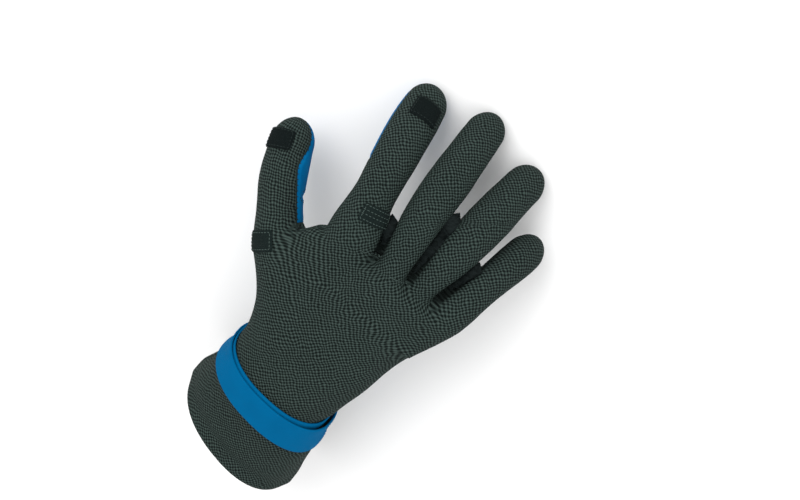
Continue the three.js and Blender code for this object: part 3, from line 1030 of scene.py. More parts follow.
class Graph:
    """A material's nodes, with short ways to add and join them."""

    def __init__(self, name: str) -> None:
        """Starts a material.

        Args:
            name: The material's name.
        """
        self.material = bpy.data.materials.new(name)
        self.material.use_nodes = True
        self.tree = self.material.node_tree
        self.shader = self.tree.nodes["Principled BSDF"]

    def node(self, kind: str, **settings: object) -> bpy.types.Node:
        """Adds a node.

        Args:
            kind: The node's type.
            settings: Its properties.

        Returns:
            The node.
        """
        made = self.tree.nodes.new(kind)
        for key, value in settings.items():
            setattr(made, key, value)
        return made

    def join(self, source: object, target: Socket) -> None:
        """Links a socket to another, or sets the other to a value.

        Args:
            source: The socket or the value.
            target: The other socket.
        """
        if isinstance(source, Socket):
            self.tree.links.new(source, target)
        else:
            target.default_value = source

    def math(self, operation: str, first: object, second: object = 0.0, third: object = 0.0) -> Socket:
        """Adds a math node.

        Args:
            operation: What it works out.
            first: Its first number.
            second: Its second number.
            third: Its third number.

        Returns:
            The result's socket.
        """
        made = self.node("ShaderNodeMath", operation=operation)
        for source, target in zip((first, second, third), made.inputs):
            self.join(source, target)
        return made.outputs[0]

    def noise(self, vector: object, scale: float, detail: float = 2.0, rough: float = 0.5) -> Socket:
        """Adds a noise texture.

        Args:
            vector: Where it is read.
            scale: How fine it is.
            detail: How many layers it has.
            rough: How strong its finer layers are.

        Returns:
            The value's socket.
        """
        made = self.node("ShaderNodeTexNoise")
        self.join(vector, made.inputs["Vector"])
        made.inputs["Scale"].default_value = scale
        made.inputs["Detail"].default_value = detail
        made.inputs["Roughness"].default_value = rough
        return made.outputs["Fac"]

    def spread(self, value: object, low: float, high: float, start: float = 0.0, end: float = 1.0) -> Socket:
        """Maps a value smoothly from one range to another.

        Args:
            value: The value.
            low: The first range's start.
            high: Its end.
            start: The second range's start.
            end: Its end.

        Returns:
            The result's socket.
        """
        made = self.node("ShaderNodeMapRange", interpolation_type="SMOOTHSTEP")
        ends = {"Value": value, "From Min": low, "From Max": high, "To Min": start, "To Max": end}
        for key, source in ends.items():
            self.join(source, made.inputs[key])
        return made.outputs["Result"]

    def mix(self, share: object, first: object, second: object) -> Socket:
        """Mixes two colours.

        Args:
            share: The second colour's share.
            first: The first colour.
            second: The second colour.

        Returns:
            The mixed colour's socket.
        """
        made = self.node("ShaderNodeMix", data_type="RGBA")
        self.join(share, made.inputs[0])
        self.join(first, made.inputs[6])
        self.join(second, made.inputs[7])
        return made.outputs[2]

    def cloth(self) -> Socket:
        """Returns the place on the flat cloth, in centimetres."""
        return self.node("ShaderNodeUVMap", uv_map="cloth").outputs["UV"]

    def place(self) -> Socket:
        """Returns the place on the object, in metres."""
        return self.node("ShaderNodeTexCoord").outputs["Object"]

    def point_value(self, name: str) -> Socket:
        """Returns a value that is stored on the mesh's points."""
        return self.node("ShaderNodeAttribute", attribute_name=name).outputs["Fac"]

    def bump(self, height: object, depth: float, strength: float = 1.0) -> Socket:
        """Adds a bump.

        Args:
            height: The height's socket.
            depth: How deep it goes, in metres.
            strength: How much of it shows.

        Returns:
            The normal's socket.
        """
        made = self.node("ShaderNodeBump")
        made.inputs["Strength"].default_value = strength
        made.inputs["Distance"].default_value = depth
        self.join(height, made.inputs["Height"])
        return made.outputs["Normal"]

    def dress(self, colour: object, normal: object, **constants: float) -> bpy.types.Material:
        """Joins colour and normal to the shader and sets its constants.

        Args:
            colour: The base colour.
            normal: The normal, or None.
            constants: Values of the shader's own sockets, with underscores for spaces.

        Returns:
            The material.
        """
        self.join(colour, self.shader.inputs["Base Color"])
        if normal is not None:
            self.join(normal, self.shader.inputs["Normal"])
        for key, value in constants.items():
            self.join(value, self.shader.inputs[key.replace("_", " ")])
        return self.material


@dataclass(frozen=True)
class PittedNeoprene:
    """Grey-green neoprene whose face is knitted into staggered rows of small dark pits."""

    name: str = "pitted_neoprene"
    pitch: float = 0.128
    slope: float = 0.62
    stray: float = 0.22
    ground: Colour = linear(37, 48, 45)
    pit: Colour = linear(5, 10, 9)
    # Raised ribs between the pits: lighter fuzz, and a painted highlight on their tops.
    rib: Colour = linear(64, 77, 73)
    seam: Colour = linear(30, 39, 37)
    # The colour of the painted shade in the creases between the fingers.
    crease: Colour = linear(7, 11, 10)

    def build(self) -> bpy.types.Material:
        """Builds the material.

        Returns:
            The material.
        """
        g = Graph(self.name)
        cloth = g.cloth()
        stray = g.node("ShaderNodeTexNoise", noise_dimensions="2D")
        g.join(cloth, stray.inputs["Vector"])
        stray.inputs["Scale"].default_value = 1.6
        parts = g.node("ShaderNodeSeparateXYZ")
        g.join(cloth, parts.inputs[0])
        shift = g.node("ShaderNodeSeparateColor")
        g.join(stray.outputs["Color"], shift.inputs[0])
        turn = 2 * math.pi / self.pitch
        u = g.math("MULTIPLY_ADD", shift.outputs[0], self.stray, parts.outputs[0])
        v = g.math("MULTIPLY_ADD", shift.outputs[1], self.stray, parts.outputs[1])
        sloped = g.math("MULTIPLY", v, turn * self.slope)
        across = g.math("MULTIPLY", u, turn * 0.5)
        first = g.math("COSINE", g.math("ADD", across, sloped))
        second = g.math("COSINE", g.math("SUBTRACT", across, sloped))
        lattice = g.math("ADD", first, second)
        pit = g.spread(lattice, 0.1, 1.3)
        rib = g.spread(lattice, 0.0, -1.5)
        band = g.spread(g.point_value("seam_distance"), 0.9, 1.5)
        pit = g.math("MULTIPLY", pit, band)
        rib = g.math("MULTIPLY", rib, band)
        blotch = g.noise(g.place(), 45, 3)
        fine = g.noise(cloth, 30, 2)
        ground = g.mix(g.spread(blotch, 0.3, 0.7), self.ground, darker(self.ground, 0.86))
        # Lighter fuzz and a painted highlight on the raised ribs, varied by fine noise.
        rib_fuzz_and_highlight = g.math("MULTIPLY", rib, g.spread(fine, 0.2, 0.7, 0.35, 1.0))
        raised = g.mix(rib_fuzz_and_highlight, ground, self.rib)
        sunk = g.mix(g.math("MULTIPLY", pit, 0.9), raised, self.pit)
        edge = g.mix(g.spread(g.point_value("seam_distance"), 0.55, 0.15), sunk, self.seam)
        # Painted shade: the creases between the fingers are darkened towards near black.
        edge = g.mix(g.spread(g.point_value("crease"), 0.35, 0.95, 0, 0.85), edge, self.crease)
        height = g.math("MULTIPLY_ADD", pit, -1.0, g.math("MULTIPLY", rib, 0.35))
        height = g.math("MULTIPLY_ADD", fine, 0.18, height)
        return g.dress(edge, g.bump(height, 0.0005, 0.85), Roughness=0.9, Specular_IOR_Level=0.08)


@dataclass(frozen=True)
class SmoothNeoprene:
    """Smooth neoprene of one colour, with a fine grain and slightly rubbed places."""

    name: str
    ground: Colour
    rubbed: Colour
    roughness: float = 0.62

    def build(self) -> bpy.types.Material:
        """Builds the material.

        Returns:
            The material.
        """
        g = Graph(self.name)
        cloth = g.cloth()
        grain = g.noise(cloth, 55, 3, 0.6)
        weave = g.node("ShaderNodeTexWave", wave_type="BANDS", bands_direction="DIAGONAL")
        g.join(cloth, weave.inputs["Vector"])
        weave.inputs["Scale"].default_value = 9
        weave.inputs["Distortion"].default_value = 1.5
        blotch = g.noise(g.place(), 60, 3)
        colour = g.mix(g.spread(blotch, 0.35, 0.75), self.ground, self.rubbed)
        colour = g.mix(g.spread(grain, 0.55, 0.8, 0, 0.35), colour, darker(self.ground, 0.6))
        height = g.math("MULTIPLY_ADD", weave.outputs["Fac"], 0.4, grain)
        normal = g.bump(height, 0.00012, 0.6)
        return g.dress(colour, normal, Roughness=self.roughness, Specular_IOR_Level=0.02)


@dataclass(frozen=True)
class WovenCloth:
    """Cloth of crossing threads, such as the strap's face or the lining."""

    name: str
    ground: Colour
    shade: Colour
    threads: float = 26.0
    depth: float = 0.0002
    roughness: float = 0.7

    def build(self) -> bpy.types.Material:
        """Builds the material.

        Returns:
            The material.
        """
        g = Graph(self.name)
        parts = g.node("ShaderNodeSeparateXYZ")
        g.join(g.cloth(), parts.inputs[0])
        turn = 2 * math.pi * self.threads
        warp = g.math("SINE", g.math("MULTIPLY", parts.outputs[0], turn))
        weft = g.math("SINE", g.math("MULTIPLY", parts.outputs[1], turn))
        weave = g.math("MULTIPLY", warp, weft)
        blotch = g.noise(g.place(), 70, 4)
        colour = g.mix(g.spread(weave, -1, 1, 0, 0.35), self.ground, self.shade)
        colour = g.mix(g.spread(blotch, 0.4, 0.8, 0, 0.5), colour, self.shade)
        height = g.math("MULTIPLY_ADD", g.noise(g.cloth(), 60, 2), 0.5, weave)
        normal = g.bump(height, self.depth, 0.6)
        return g.dress(colour, normal, Roughness=self.roughness, Specular_IOR_Level=0.02)


@dataclass(frozen=True)
class NappedCloth:
    """Black cloth with a brushed or hooked face."""

    name: str
    ground: Colour = linear(13, 20, 20)
    tuft: Colour = linear(34, 43, 41)

    def build(self) -> bpy.types.Material:
        """Builds the material.

        Returns:
            The material.
        """
        g = Graph(self.name)
        cells = g.node("ShaderNodeTexVoronoi")
        g.join(g.cloth(), cells.inputs["Vector"])
        cells.inputs["Scale"].default_value = 11
        fuzz = g.noise(g.cloth(), 40, 4, 0.7)
        tuft = g.spread(cells.outputs["Distance"], 0.55, 0.05)
        colour = g.mix(g.math("MULTIPLY", tuft, g.spread(fuzz, 0.35, 0.75)), self.ground, self.tuft)
        height = g.math("MULTIPLY_ADD", fuzz, 0.8, tuft)
        return g.dress(colour, g.bump(height, 0.0004, 0.9), Roughness=0.95, Specular_IOR_Level=0.06)


@dataclass(frozen=True)
class Thread:
    """Sewing thread, twisted and slightly shiny."""

    name: str
    ground: Colour

    def build(self) -> bpy.types.Material:
        """Builds the material.

        Returns:
            The material.
        """
        g = Graph(self.name)
        twist = g.noise(g.place(), 2600, 2)
        colour = g.mix(g.spread(twist, 0.35, 0.7, 0, 0.6), self.ground, darker(self.ground, 0.55))
        return g.dress(colour, g.bump(twist, 0.0001, 0.5), Roughness=0.7, Specular_IOR_Level=0.1)


@dataclass
class Finishes:
    """Every material of the glove, built once."""

    neoprene: bpy.types.Material
    foam: bpy.types.Material
    lining: bpy.types.Material
    blue: bpy.types.Material
    strap: bpy.types.Material
    hook: bpy.types.Material
    loop: bpy.types.Material
    thread: bpy.types.Material
    light_thread: bpy.types.Material
    blue_thread: bpy.types.Material

    @classmethod
    def make(cls) -> "Finishes":
        """Builds the materials."""
        return cls(
            neoprene=PittedNeoprene().build(),
            foam=SmoothNeoprene("cut_foam_edge", linear(24, 29, 28), linear(40, 46, 44), 0.9).build(),
            lining=WovenCloth(
                "jersey_lining", linear(30, 36, 36), linear(15, 19, 19), 9, 0.0003, 0.95
            ).build(),
            blue=SmoothNeoprene("blue_neoprene", linear(0, 86, 135), linear(3, 97, 147)).build(),
            strap=WovenCloth(
                "blue_strap_cloth", linear(0, 93, 140), linear(0, 84, 129), 22, 0.00012, 0.75
            ).build(),
            hook=NappedCloth("hook_fastener").build(),
            loop=NappedCloth("loop_fastener", linear(20, 29, 28), linear(44, 55, 52)).build(),
            thread=Thread("dark_thread", linear(34, 44, 42)).build(),
            light_thread=Thread("grey_thread", linear(72, 86, 82)).build(),
            blue_thread=Thread("blue_thread", linear(2, 84, 132)).build(),
        )


def store_values(data: bpy.types.Mesh, cloth: Array, **columns: Array) -> None:
    """Stores the place on the flat cloth as a UV map, and other values on the points.

    Args:
        data: The mesh.
        cloth: The flat place of each point, in centimetres.
        columns: Values of the points by name, such as the distance from the nearest seam in millimetres.
    """
    layer = data.uv_layers.new(name="cloth")
    corners = np.empty(len(data.loops), np.int32)
    data.loops.foreach_get("vertex_index", corners)
    layer.data.foreach_set("uv", cloth[corners].astype(np.float32).ravel())
    for name, values in columns.items():
        data.attributes.new(name, "FLOAT", "POINT").data.foreach_set("value", values.astype(np.float32))


def finish_piece(piece: bpy.types.Object, slot: str, *nodes: str, sharp: float = 50) -> bpy.types.Object:
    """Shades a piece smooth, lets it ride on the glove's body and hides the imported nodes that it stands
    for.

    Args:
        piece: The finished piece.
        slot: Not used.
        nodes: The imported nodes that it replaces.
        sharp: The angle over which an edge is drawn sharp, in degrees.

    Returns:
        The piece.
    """
    piece.data.shade_smooth()
    piece.data.set_sharp_from_angle(angle=math.radians(sharp))
    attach(piece, "root")
    if nodes:
        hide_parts(*nodes)
    LOG.info("%s: %d faces", piece.name, len(piece.data.polygons))
    return piece


def set_input(modifier: bpy.types.NodesModifier, name: str, value: object) -> None:
    """Sets an input of a geometry nodes modifier by its identifier.

    Args:
        modifier: The modifier.
        name: The input's name.
        value: Its value.
    """
    for item in modifier.node_group.interface.items_tree:
        if item.item_type == "SOCKET" and item.in_out == "INPUT" and item.name == name:
            modifier[item.identifier] = value


class Repeats:
    """The geometry node trees that set stitches along paths and bristles over patches."""

    def __init__(self) -> None:
        """Builds both trees."""
        self.stitches = self.stitch_tree()
        self.bristles = self.bristle_tree()

    @staticmethod
    def start_tree(
        name: str, first: str, sizes: Sequence[tuple[str, float]]
    ) -> tuple[bpy.types.NodeTree, Callable]:
        """Starts a tree with named inputs.

        Args:
            name: The tree's name.
            first: The name of its geometry input.
            sizes: The names and values of its number inputs.

        Returns:
            The tree, and a function that adds a node to it.
        """
        tree = bpy.data.node_groups.new(name, "GeometryNodeTree")
        tree.interface.new_socket(first, in_out="INPUT", socket_type="NodeSocketGeometry")
        for label, value in sizes:
            size = tree.interface.new_socket(label, in_out="INPUT", socket_type="NodeSocketFloat")
            size.default_value = value
        tree.interface.new_socket("Seed", in_out="INPUT", socket_type="NodeSocketInt")
        tree.interface.new_socket("Finish", in_out="INPUT", socket_type="NodeSocketMaterial")
        tree.interface.new_socket("Result", in_out="OUTPUT", socket_type="NodeSocketGeometry")

        def add(kind: str, links: dict[object, object], **settings: object) -> bpy.types.Node:
            """Adds a node.

            Args:
                kind: The node's type.
                links: What each of its inputs is linked or set to.
                settings: Its properties.

            Returns:
                The node.
            """
            made = tree.nodes.new(kind)
            for key, value in settings.items():
                setattr(made, key, value)
            for key, source in links.items():
                if isinstance(source, Socket):
                    tree.links.new(source, made.inputs[key])
                else:
                    made.inputs[key].default_value = source
            return made

        return tree, add

    @staticmethod
    def end_tree(add: Callable, points: object, instance: object, turned: object, finish: object) -> None:
        """Ends a tree: instances on points, made real, with their finish.

        Args:
            add: The function that adds a node.
            points: The points' socket.
            instance: The socket of the shape that repeats.
            turned: The socket of its rotation.
            finish: The material's socket.
        """
        placed = add(
            "GeometryNodeInstanceOnPoints", {"Points": points, "Instance": instance, "Rotation": turned}
        )
        real = add("GeometryNodeRealizeInstances", {"Geometry": placed.outputs[0]})
        dressed = add("GeometryNodeSetMaterial", {"Geometry": real.outputs[0], "Material": finish})
        add("NodeGroupOutput", {0: dressed.outputs[0]})

    def stitch_tree(self) -> bpy.types.NodeTree:
        """Builds the tree that sets stitches along a path.

        Returns:
            The tree.
        """
        sizes = (("Pitch", 0.0025), ("Stitch Length", 0.0016), ("Thread Radius", 0.0002), ("Turn", 0.0))
        tree, add = self.start_tree("stitch_row", "Path", sizes)
        given = add("NodeGroupInput", {})
        curve = add("GeometryNodeMeshToCurve", {"Mesh": given.outputs["Path"]})
        spaced = add(
            "GeometryNodeResampleCurve",
            {"Curve": curve.outputs[0], "Length": given.outputs["Pitch"]},
            mode="LENGTH",
        )
        half = add("ShaderNodeMath", {0: given.outputs["Stitch Length"], 1: 0.5}, operation="MULTIPLY")
        radius = given.outputs["Thread Radius"]
        scale = add("ShaderNodeCombineXYZ", {0: half.outputs[0], 1: radius, 2: radius})
        ball = add("GeometryNodeMeshUVSphere", {"Segments": 8, "Rings": 6, "Radius": 1.0})
        stitch = add("GeometryNodeTransform", {"Geometry": ball.outputs[0], "Scale": scale.outputs[0]})
        lift = add("GeometryNodeInputNamedAttribute", {"Name": "lift"}, data_type="FLOAT_VECTOR")
        tangent = add("GeometryNodeInputTangent", {})
        upright = add("FunctionNodeAlignRotationToVector", {"Vector": lift.outputs["Attribute"]}, axis="Z")
        along = add(
            "FunctionNodeAlignRotationToVector",
            {"Rotation": upright.outputs[0], "Vector": tangent.outputs[0]},
            axis="X",
            pivot_axis="Z",
        )
        twist = add("ShaderNodeCombineXYZ", {2: given.outputs["Turn"]})
        turn = add("FunctionNodeEulerToRotation", {0: twist.outputs[0]})
        turned = add(
            "FunctionNodeRotateRotation", {0: along.outputs[0], 1: turn.outputs[0]}, rotation_space="LOCAL"
        )
        self.end_tree(add, spaced.outputs[0], stitch.outputs[0], turned.outputs[0], given.outputs["Finish"])
        return tree

    def bristle_tree(self) -> bpy.types.NodeTree:
        """Builds the tree that sets bristles over a patch.

        Returns:
            The tree.
        """
        sizes = (("Spacing", 0.001), ("Bristle Height", 0.0008), ("Bristle Radius", 0.00016), ("Lean", 0.5))
        tree, add = self.start_tree("bristles", "Ground", sizes)
        given = add("NodeGroupInput", {})
        seed = given.outputs["Seed"]
        spots = add(
            "GeometryNodeDistributePointsOnFaces",
            {
                "Mesh": given.outputs["Ground"],
                "Distance Min": given.outputs["Spacing"],
                "Density Max": BRISTLE_DENSITY,
                "Seed": seed,
            },
            distribute_method="POISSON",
        )
        cone = add(
            "GeometryNodeMeshCone",
            {
                "Vertices": 5,
                "Radius Top": given.outputs["Bristle Radius"],
                "Radius Bottom": given.outputs["Bristle Radius"],
                "Depth": given.outputs["Bristle Height"],
            },
        )
        low = add("ShaderNodeMath", {0: given.outputs["Lean"], 1: -1.0}, operation="MULTIPLY")
        most = add("ShaderNodeCombineXYZ", {0: given.outputs["Lean"], 1: given.outputs["Lean"], 2: 6.28})
        least = add("ShaderNodeCombineXYZ", {0: low.outputs[0], 1: low.outputs[0], 2: 0.0})
        lean = add(
            "FunctionNodeRandomValue",
            {0: least.outputs[0], 1: most.outputs[0], "Seed": seed},
            data_type="FLOAT_VECTOR",
        )
        turn = add("FunctionNodeEulerToRotation", {0: lean.outputs[0]})
        turned = add(
            "FunctionNodeRotateRotation",
            {0: spots.outputs["Rotation"], 1: turn.outputs[0]},
            rotation_space="LOCAL",
        )
        finish = given.outputs["Finish"]
        self.end_tree(add, spots.outputs["Points"], cone.outputs["Mesh"], turned.outputs[0], finish)
        return tree

    def grow(self, base: bpy.types.Object, tree: bpy.types.NodeTree, **inputs: object) -> None:
        """Runs a tree on an object and leaves the result as its plain mesh.

        Args:
            base: The object, which turns into the result.
            tree: The tree.
            inputs: The tree's inputs, with underscores for spaces.
        """
        modifier = base.modifiers.new("repeat", "NODES")
        modifier.node_group = tree
        for key, value in inputs.items():
            set_input(modifier, key.replace("_", " "), value)
        make_plain(base, modifier)

    def stitch_row(
        self,
        name: str,
        points: Array,
        edges: Array,
        lifts: Array,
        thread: bpy.types.Material,
        slot: str,
        **sizes: float,
    ) -> bpy.types.Object:
        """Sews a row of stitches along a path.

        Args:
            name: The piece's name.
            points: The path's points, in metres.
            edges: Its edges, as pairs of point numbers.
            lifts: The way out of the cloth at each point.
            thread: The thread's finish.
            slot: Not used; it is only passed on to finish_piece, which ignores it.
            sizes: The tree's sizes, with underscores for spaces.

        Returns:
            The finished piece.
        """
        data = bpy.data.meshes.new(name)
        data.from_pydata([tuple(p) for p in points.tolist()], [tuple(e) for e in edges.tolist()], [])
        column = data.attributes.new("lift", "FLOAT_VECTOR", "POINT")
        column.data.foreach_set("vector", lifts.astype(np.float32).ravel())
        row = new_object(name, data)
        self.grow(row, self.stitches, Finish=thread, **sizes)
        return finish_piece(row, slot, sharp=80)


@dataclass
class Workshop:
    """What every sub-assembly needs: the limbs, the way to metres, the finishes and the node trees."""

    limbs: dict[str, Limb]
    placement: Placement
    finishes: Finishes
    repeats: Repeats
    skin: Skin
    tree: BVHTree

    def press_on(self, limb: Limb, at: Array, angle: Array) -> tuple[Array, Array]:
        """Finds points of the finished skin below places on a limb.

        Args:
            limb: The limb.
            at: Distances along it.
            angle: Angles round it, in radians.

        Returns:
            The points on the skin and the ways out of it, in millimetres.
        """
        above = limb.surface(at, angle, PRESS_FROM)
        below = limb.surface(at, angle, PRESS_TO)
        shape = above.shape
        places = []
        outs = []
        for start, end in zip(above.reshape(-1, 3), below.reshape(-1, 3)):
            way = Vector(end - start).normalized()
            hit, out, _, _ = self.tree.ray_cast(Vector(start), way, RAY_REACH)
            if hit is None:
                hit, out = Vector(end), -way
            places.append(hit[:])
            outs.append((out * OUT_SHARE - way * (1 - OUT_SHARE)).normalized()[:])
        return np.array(places).reshape(shape), np.array(outs).reshape(shape)


@dataclass
class Shell:
    """The cloth of the glove: the back panel, the palm panel and the two pads, cut from one skin."""

    shop: Workshop
    thickness: float = 2.35
    seam_draw: float = 0.1
    seam_pitch: float = 0.0031
    seam_stitch: float = 0.0021
    seam_thread: float = 0.00021
    seam_turn: float = 68.0
    slit_outside: float = 5.0
    slit_inside: float = 9.0
    slit_hem: float = 1.3
    stitch_lift: float = 0.1

    def build(self) -> None:
        """Cuts the skin into its pieces, gives them their thickness and sews the seams."""
        skin = self.shop.skin
        for name in ("rim", "seam", *("pad_" + limb for limb in PAD_LENGTHS)):
            skin.split(name)
        inside = skin.over("rim")
        back = skin.over("seam") & inside
        under = ~skin.over("seam") & inside
        pads = {limb: under & skin.over("pad_" + limb) for limb in PAD_LENGTHS}
        palm = under & ~np.any(list(pads.values()), axis=0)
        finishes = self.shop.finishes
        outer, slot = finishes.neoprene, "pitted_neoprene"
        self.cloth_piece("back_skin", skin.part(back), outer, False, slot, "back_panel")
        self.cloth_piece("palm_skin", skin.part(palm), outer, True, slot, "palm_panel")
        outer, slot = finishes.blue, "blue_neoprene"
        for limb, mask in pads.items():
            pad = self.cloth_piece(limb + "_pad_skin", skin.part(mask), outer, True, slot, limb + "_pad")
            self.cut_slit(pad, limb)
        self.sew_seams(skin.part(back))

    def cloth_piece(
        self, name: str, part: Skin, outer: bpy.types.Material, under: bool, slot: str, node: str
    ) -> bpy.types.Object:
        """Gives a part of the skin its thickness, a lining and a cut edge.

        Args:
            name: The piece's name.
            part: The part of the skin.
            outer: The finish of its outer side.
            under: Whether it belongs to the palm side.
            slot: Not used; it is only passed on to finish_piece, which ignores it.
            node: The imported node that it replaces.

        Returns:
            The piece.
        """
        border = part.border()
        count = len(part.points)
        points = part.points.copy()
        centres = points[part.triangles].mean(1)
        total = np.zeros_like(points)
        for i in range(3):
            np.add.at(total, part.triangles[:, i], centres - points[part.triangles[:, i]])
        edge = np.unique(border)
        points[edge] += unit(total[edge]) * self.seam_draw
        inner = points - part.values["normal"] * self.thickness
        low = points[:, 2] <= self.thickness * 2
        inner[low, 2] = np.maximum(inner[low, 2], self.thickness * 0.9)
        faces = [tuple(t) for t in part.triangles.tolist()]
        faces += [(c + count, b + count, a + count) for a, b, c in part.triangles.tolist()]
        faces += [(b, a, a + count, b + count) for a, b in border.tolist()]
        piece = mesh_object(name, self.shop.placement.place(np.concatenate([points, inner])), faces)
        for material in (outer, self.shop.finishes.lining, self.shop.finishes.foam):
            piece.data.materials.append(material)
        sides = len(part.triangles)
        kinds = np.repeat([0, 1, 2], [sides, sides, len(border)]).astype(np.int32)
        piece.data.polygons.foreach_set("material_index", kinds)
        seam = np.abs(part.values["seam"])
        if under:
            for limb in PAD_LENGTHS:
                seam = np.minimum(seam, np.abs(part.values["pad_" + limb]))
        flat = part.values["cloth_under" if under else "cloth_back"] / 10
        # The crease share, which paints shade into the cloth between the fingers.
        crease = part.values["crease"]
        store_values(
            piece.data,
            np.concatenate([flat, flat]),
            seam_distance=np.concatenate([seam, seam]),
            crease=np.concatenate([crease, crease]),
        )
        return finish_piece(piece, slot, node)

    def slit_outline(self, slit: SlitRow, grow: float = 0.0, steps: int = 20) -> Array:
        """Draws a slit's outline.

        Args:
            slit: The slit's row.
            grow: How far outside the slit the outline lies.
            steps: How many steps each side has.

        Returns:
            The outline's points across and along the finger.
        """
        t = np.linspace(-1, 1, steps + 1)
        half = (slit.narrow + (slit.wide - slit.narrow) * (t + 1) / 2) / 2 * np.sqrt(1 - t**6) + grow
        x = t * (slit.chord / 2 + grow)
        y = slit.bow * (1 - t * t)
        lower = np.stack([x, y - half], 1)
        upper = np.stack([x, y + half], 1)
        return np.concatenate([lower, upper[1:-1][::-1]])

    def cut_slit(self, pad: bpy.types.Object, name: str) -> None:
        """Cuts the slit through a pad and sews round it.

        Args:
            pad: The pad.
            name: The finger's name.
        """
        limb = self.shop.limbs[name]
        slit = SLITS[name]
        row = limb.section(np.array([limb.length - slit.from_tip]))[0]
        centre, along, across, up = row[0:3], row[3:6], row[6:9], row[9:12]
        outline = self.slit_outline(slit)
        flat = centre + outline[:, :1] * across + outline[:, 1:] * along
        low = flat - up * (row[13] + self.slit_outside)
        high = flat - up * (row[13] - self.slit_inside)
        count = len(outline)
        faces = [tuple(reversed(range(count))), tuple(range(count, 2 * count))]
        faces += [(i, (i + 1) % count, (i + 1) % count + count, i + count) for i in range(count)]
        corners = self.shop.placement.place(np.concatenate([low, high]))
        cutter = mesh_object(name + "_slit_cutter", corners, faces)
        edge_slot = len(pad.data.materials) - 1
        for _ in pad.data.materials:
            cutter.data.materials.append(self.shop.finishes.foam)
        for face in cutter.data.polygons:
            face.material_index = edge_slot
        modifier = pad.modifiers.new("slit", "BOOLEAN")
        modifier.operation = "DIFFERENCE"
        modifier.solver = "EXACT"
        modifier.object = cutter
        make_plain(pad, modifier)
        bpy.data.objects.remove(cutter)
        pad.data.set_sharp_from_angle(angle=math.radians(50))
        ring = self.slit_outline(slit, self.slit_hem)
        places = []
        lifts = []
        for x, y in ring:
            start = centre + across * x + along * y - up * (row[13] + self.slit_inside)
            hit, out, _, _ = self.shop.tree.ray_cast(Vector(start), Vector(up), RAY_REACH)
            if hit is not None:
                places.append((hit + out * 0.06)[:])
                lifts.append(out[:])
        self.shop.repeats.stitch_row(
            name + "_slit_stitches",
            self.shop.placement.place(np.array(places)),
            path_edges(len(places), True),
            np.array(lifts),
            self.shop.finishes.thread,
            "blue_neoprene",
            Pitch=0.0022,
            Stitch_Length=0.0015,
            Thread_Radius=0.00018,
        )

    def sew_seams(self, part: Skin) -> None:
        """Sews fine stitches across the side seams.

        Args:
            part: The back panel's part of the skin.
        """
        border = part.border()
        rim = np.abs(part.values["rim"]) < 0.4
        keep = ~(rim[border].all(1))
        border = border[keep]
        used, renumbered = np.unique(border, return_inverse=True)
        points = part.points[used] + part.values["normal"][used] * self.stitch_lift
        self.shop.repeats.stitch_row(
            "side_seam_stitches",
            self.shop.placement.place(points),
            renumbered.reshape(-1, 2),
            part.values["normal"][used],
            self.shop.finishes.thread,
            "pitted_neoprene",
            Pitch=self.seam_pitch,
            Stitch_Length=self.seam_stitch,
            Thread_Radius=self.seam_thread,
            Turn=math.radians(self.seam_turn),
        )


def sheet_faces(rows: int, columns: int) -> list[tuple[int, ...]]:
    """Lists the faces of a closed sheet between an upper and a lower grid of points.

    Args:
        rows: How many rows each grid has.
        columns: How many columns each grid has.

    Returns:
        The faces, the upper grid's first.
    """
    lower = rows * columns
    faces: list[tuple[int, ...]] = []
    for r in range(rows - 1):
        for c in range(columns - 1):
            a = r * columns + c
            faces.append((a, a + columns, a + columns + 1, a + 1))
            faces.append((a + lower, a + 1 + lower, a + columns + 1 + lower, a + columns + lower))
    ring = list(range(columns - 1))
    ring += [r * columns + columns - 1 for r in range(rows - 1)]
    ring += [(rows - 1) * columns + c for c in range(columns - 1, 0, -1)]
    ring += [r * columns for r in range(rows - 1, 0, -1)]
    for i, a in enumerate(ring):
        b = ring[(i + 1) % len(ring)]
        faces.append((a, b, b + lower, a + lower))
    return faces


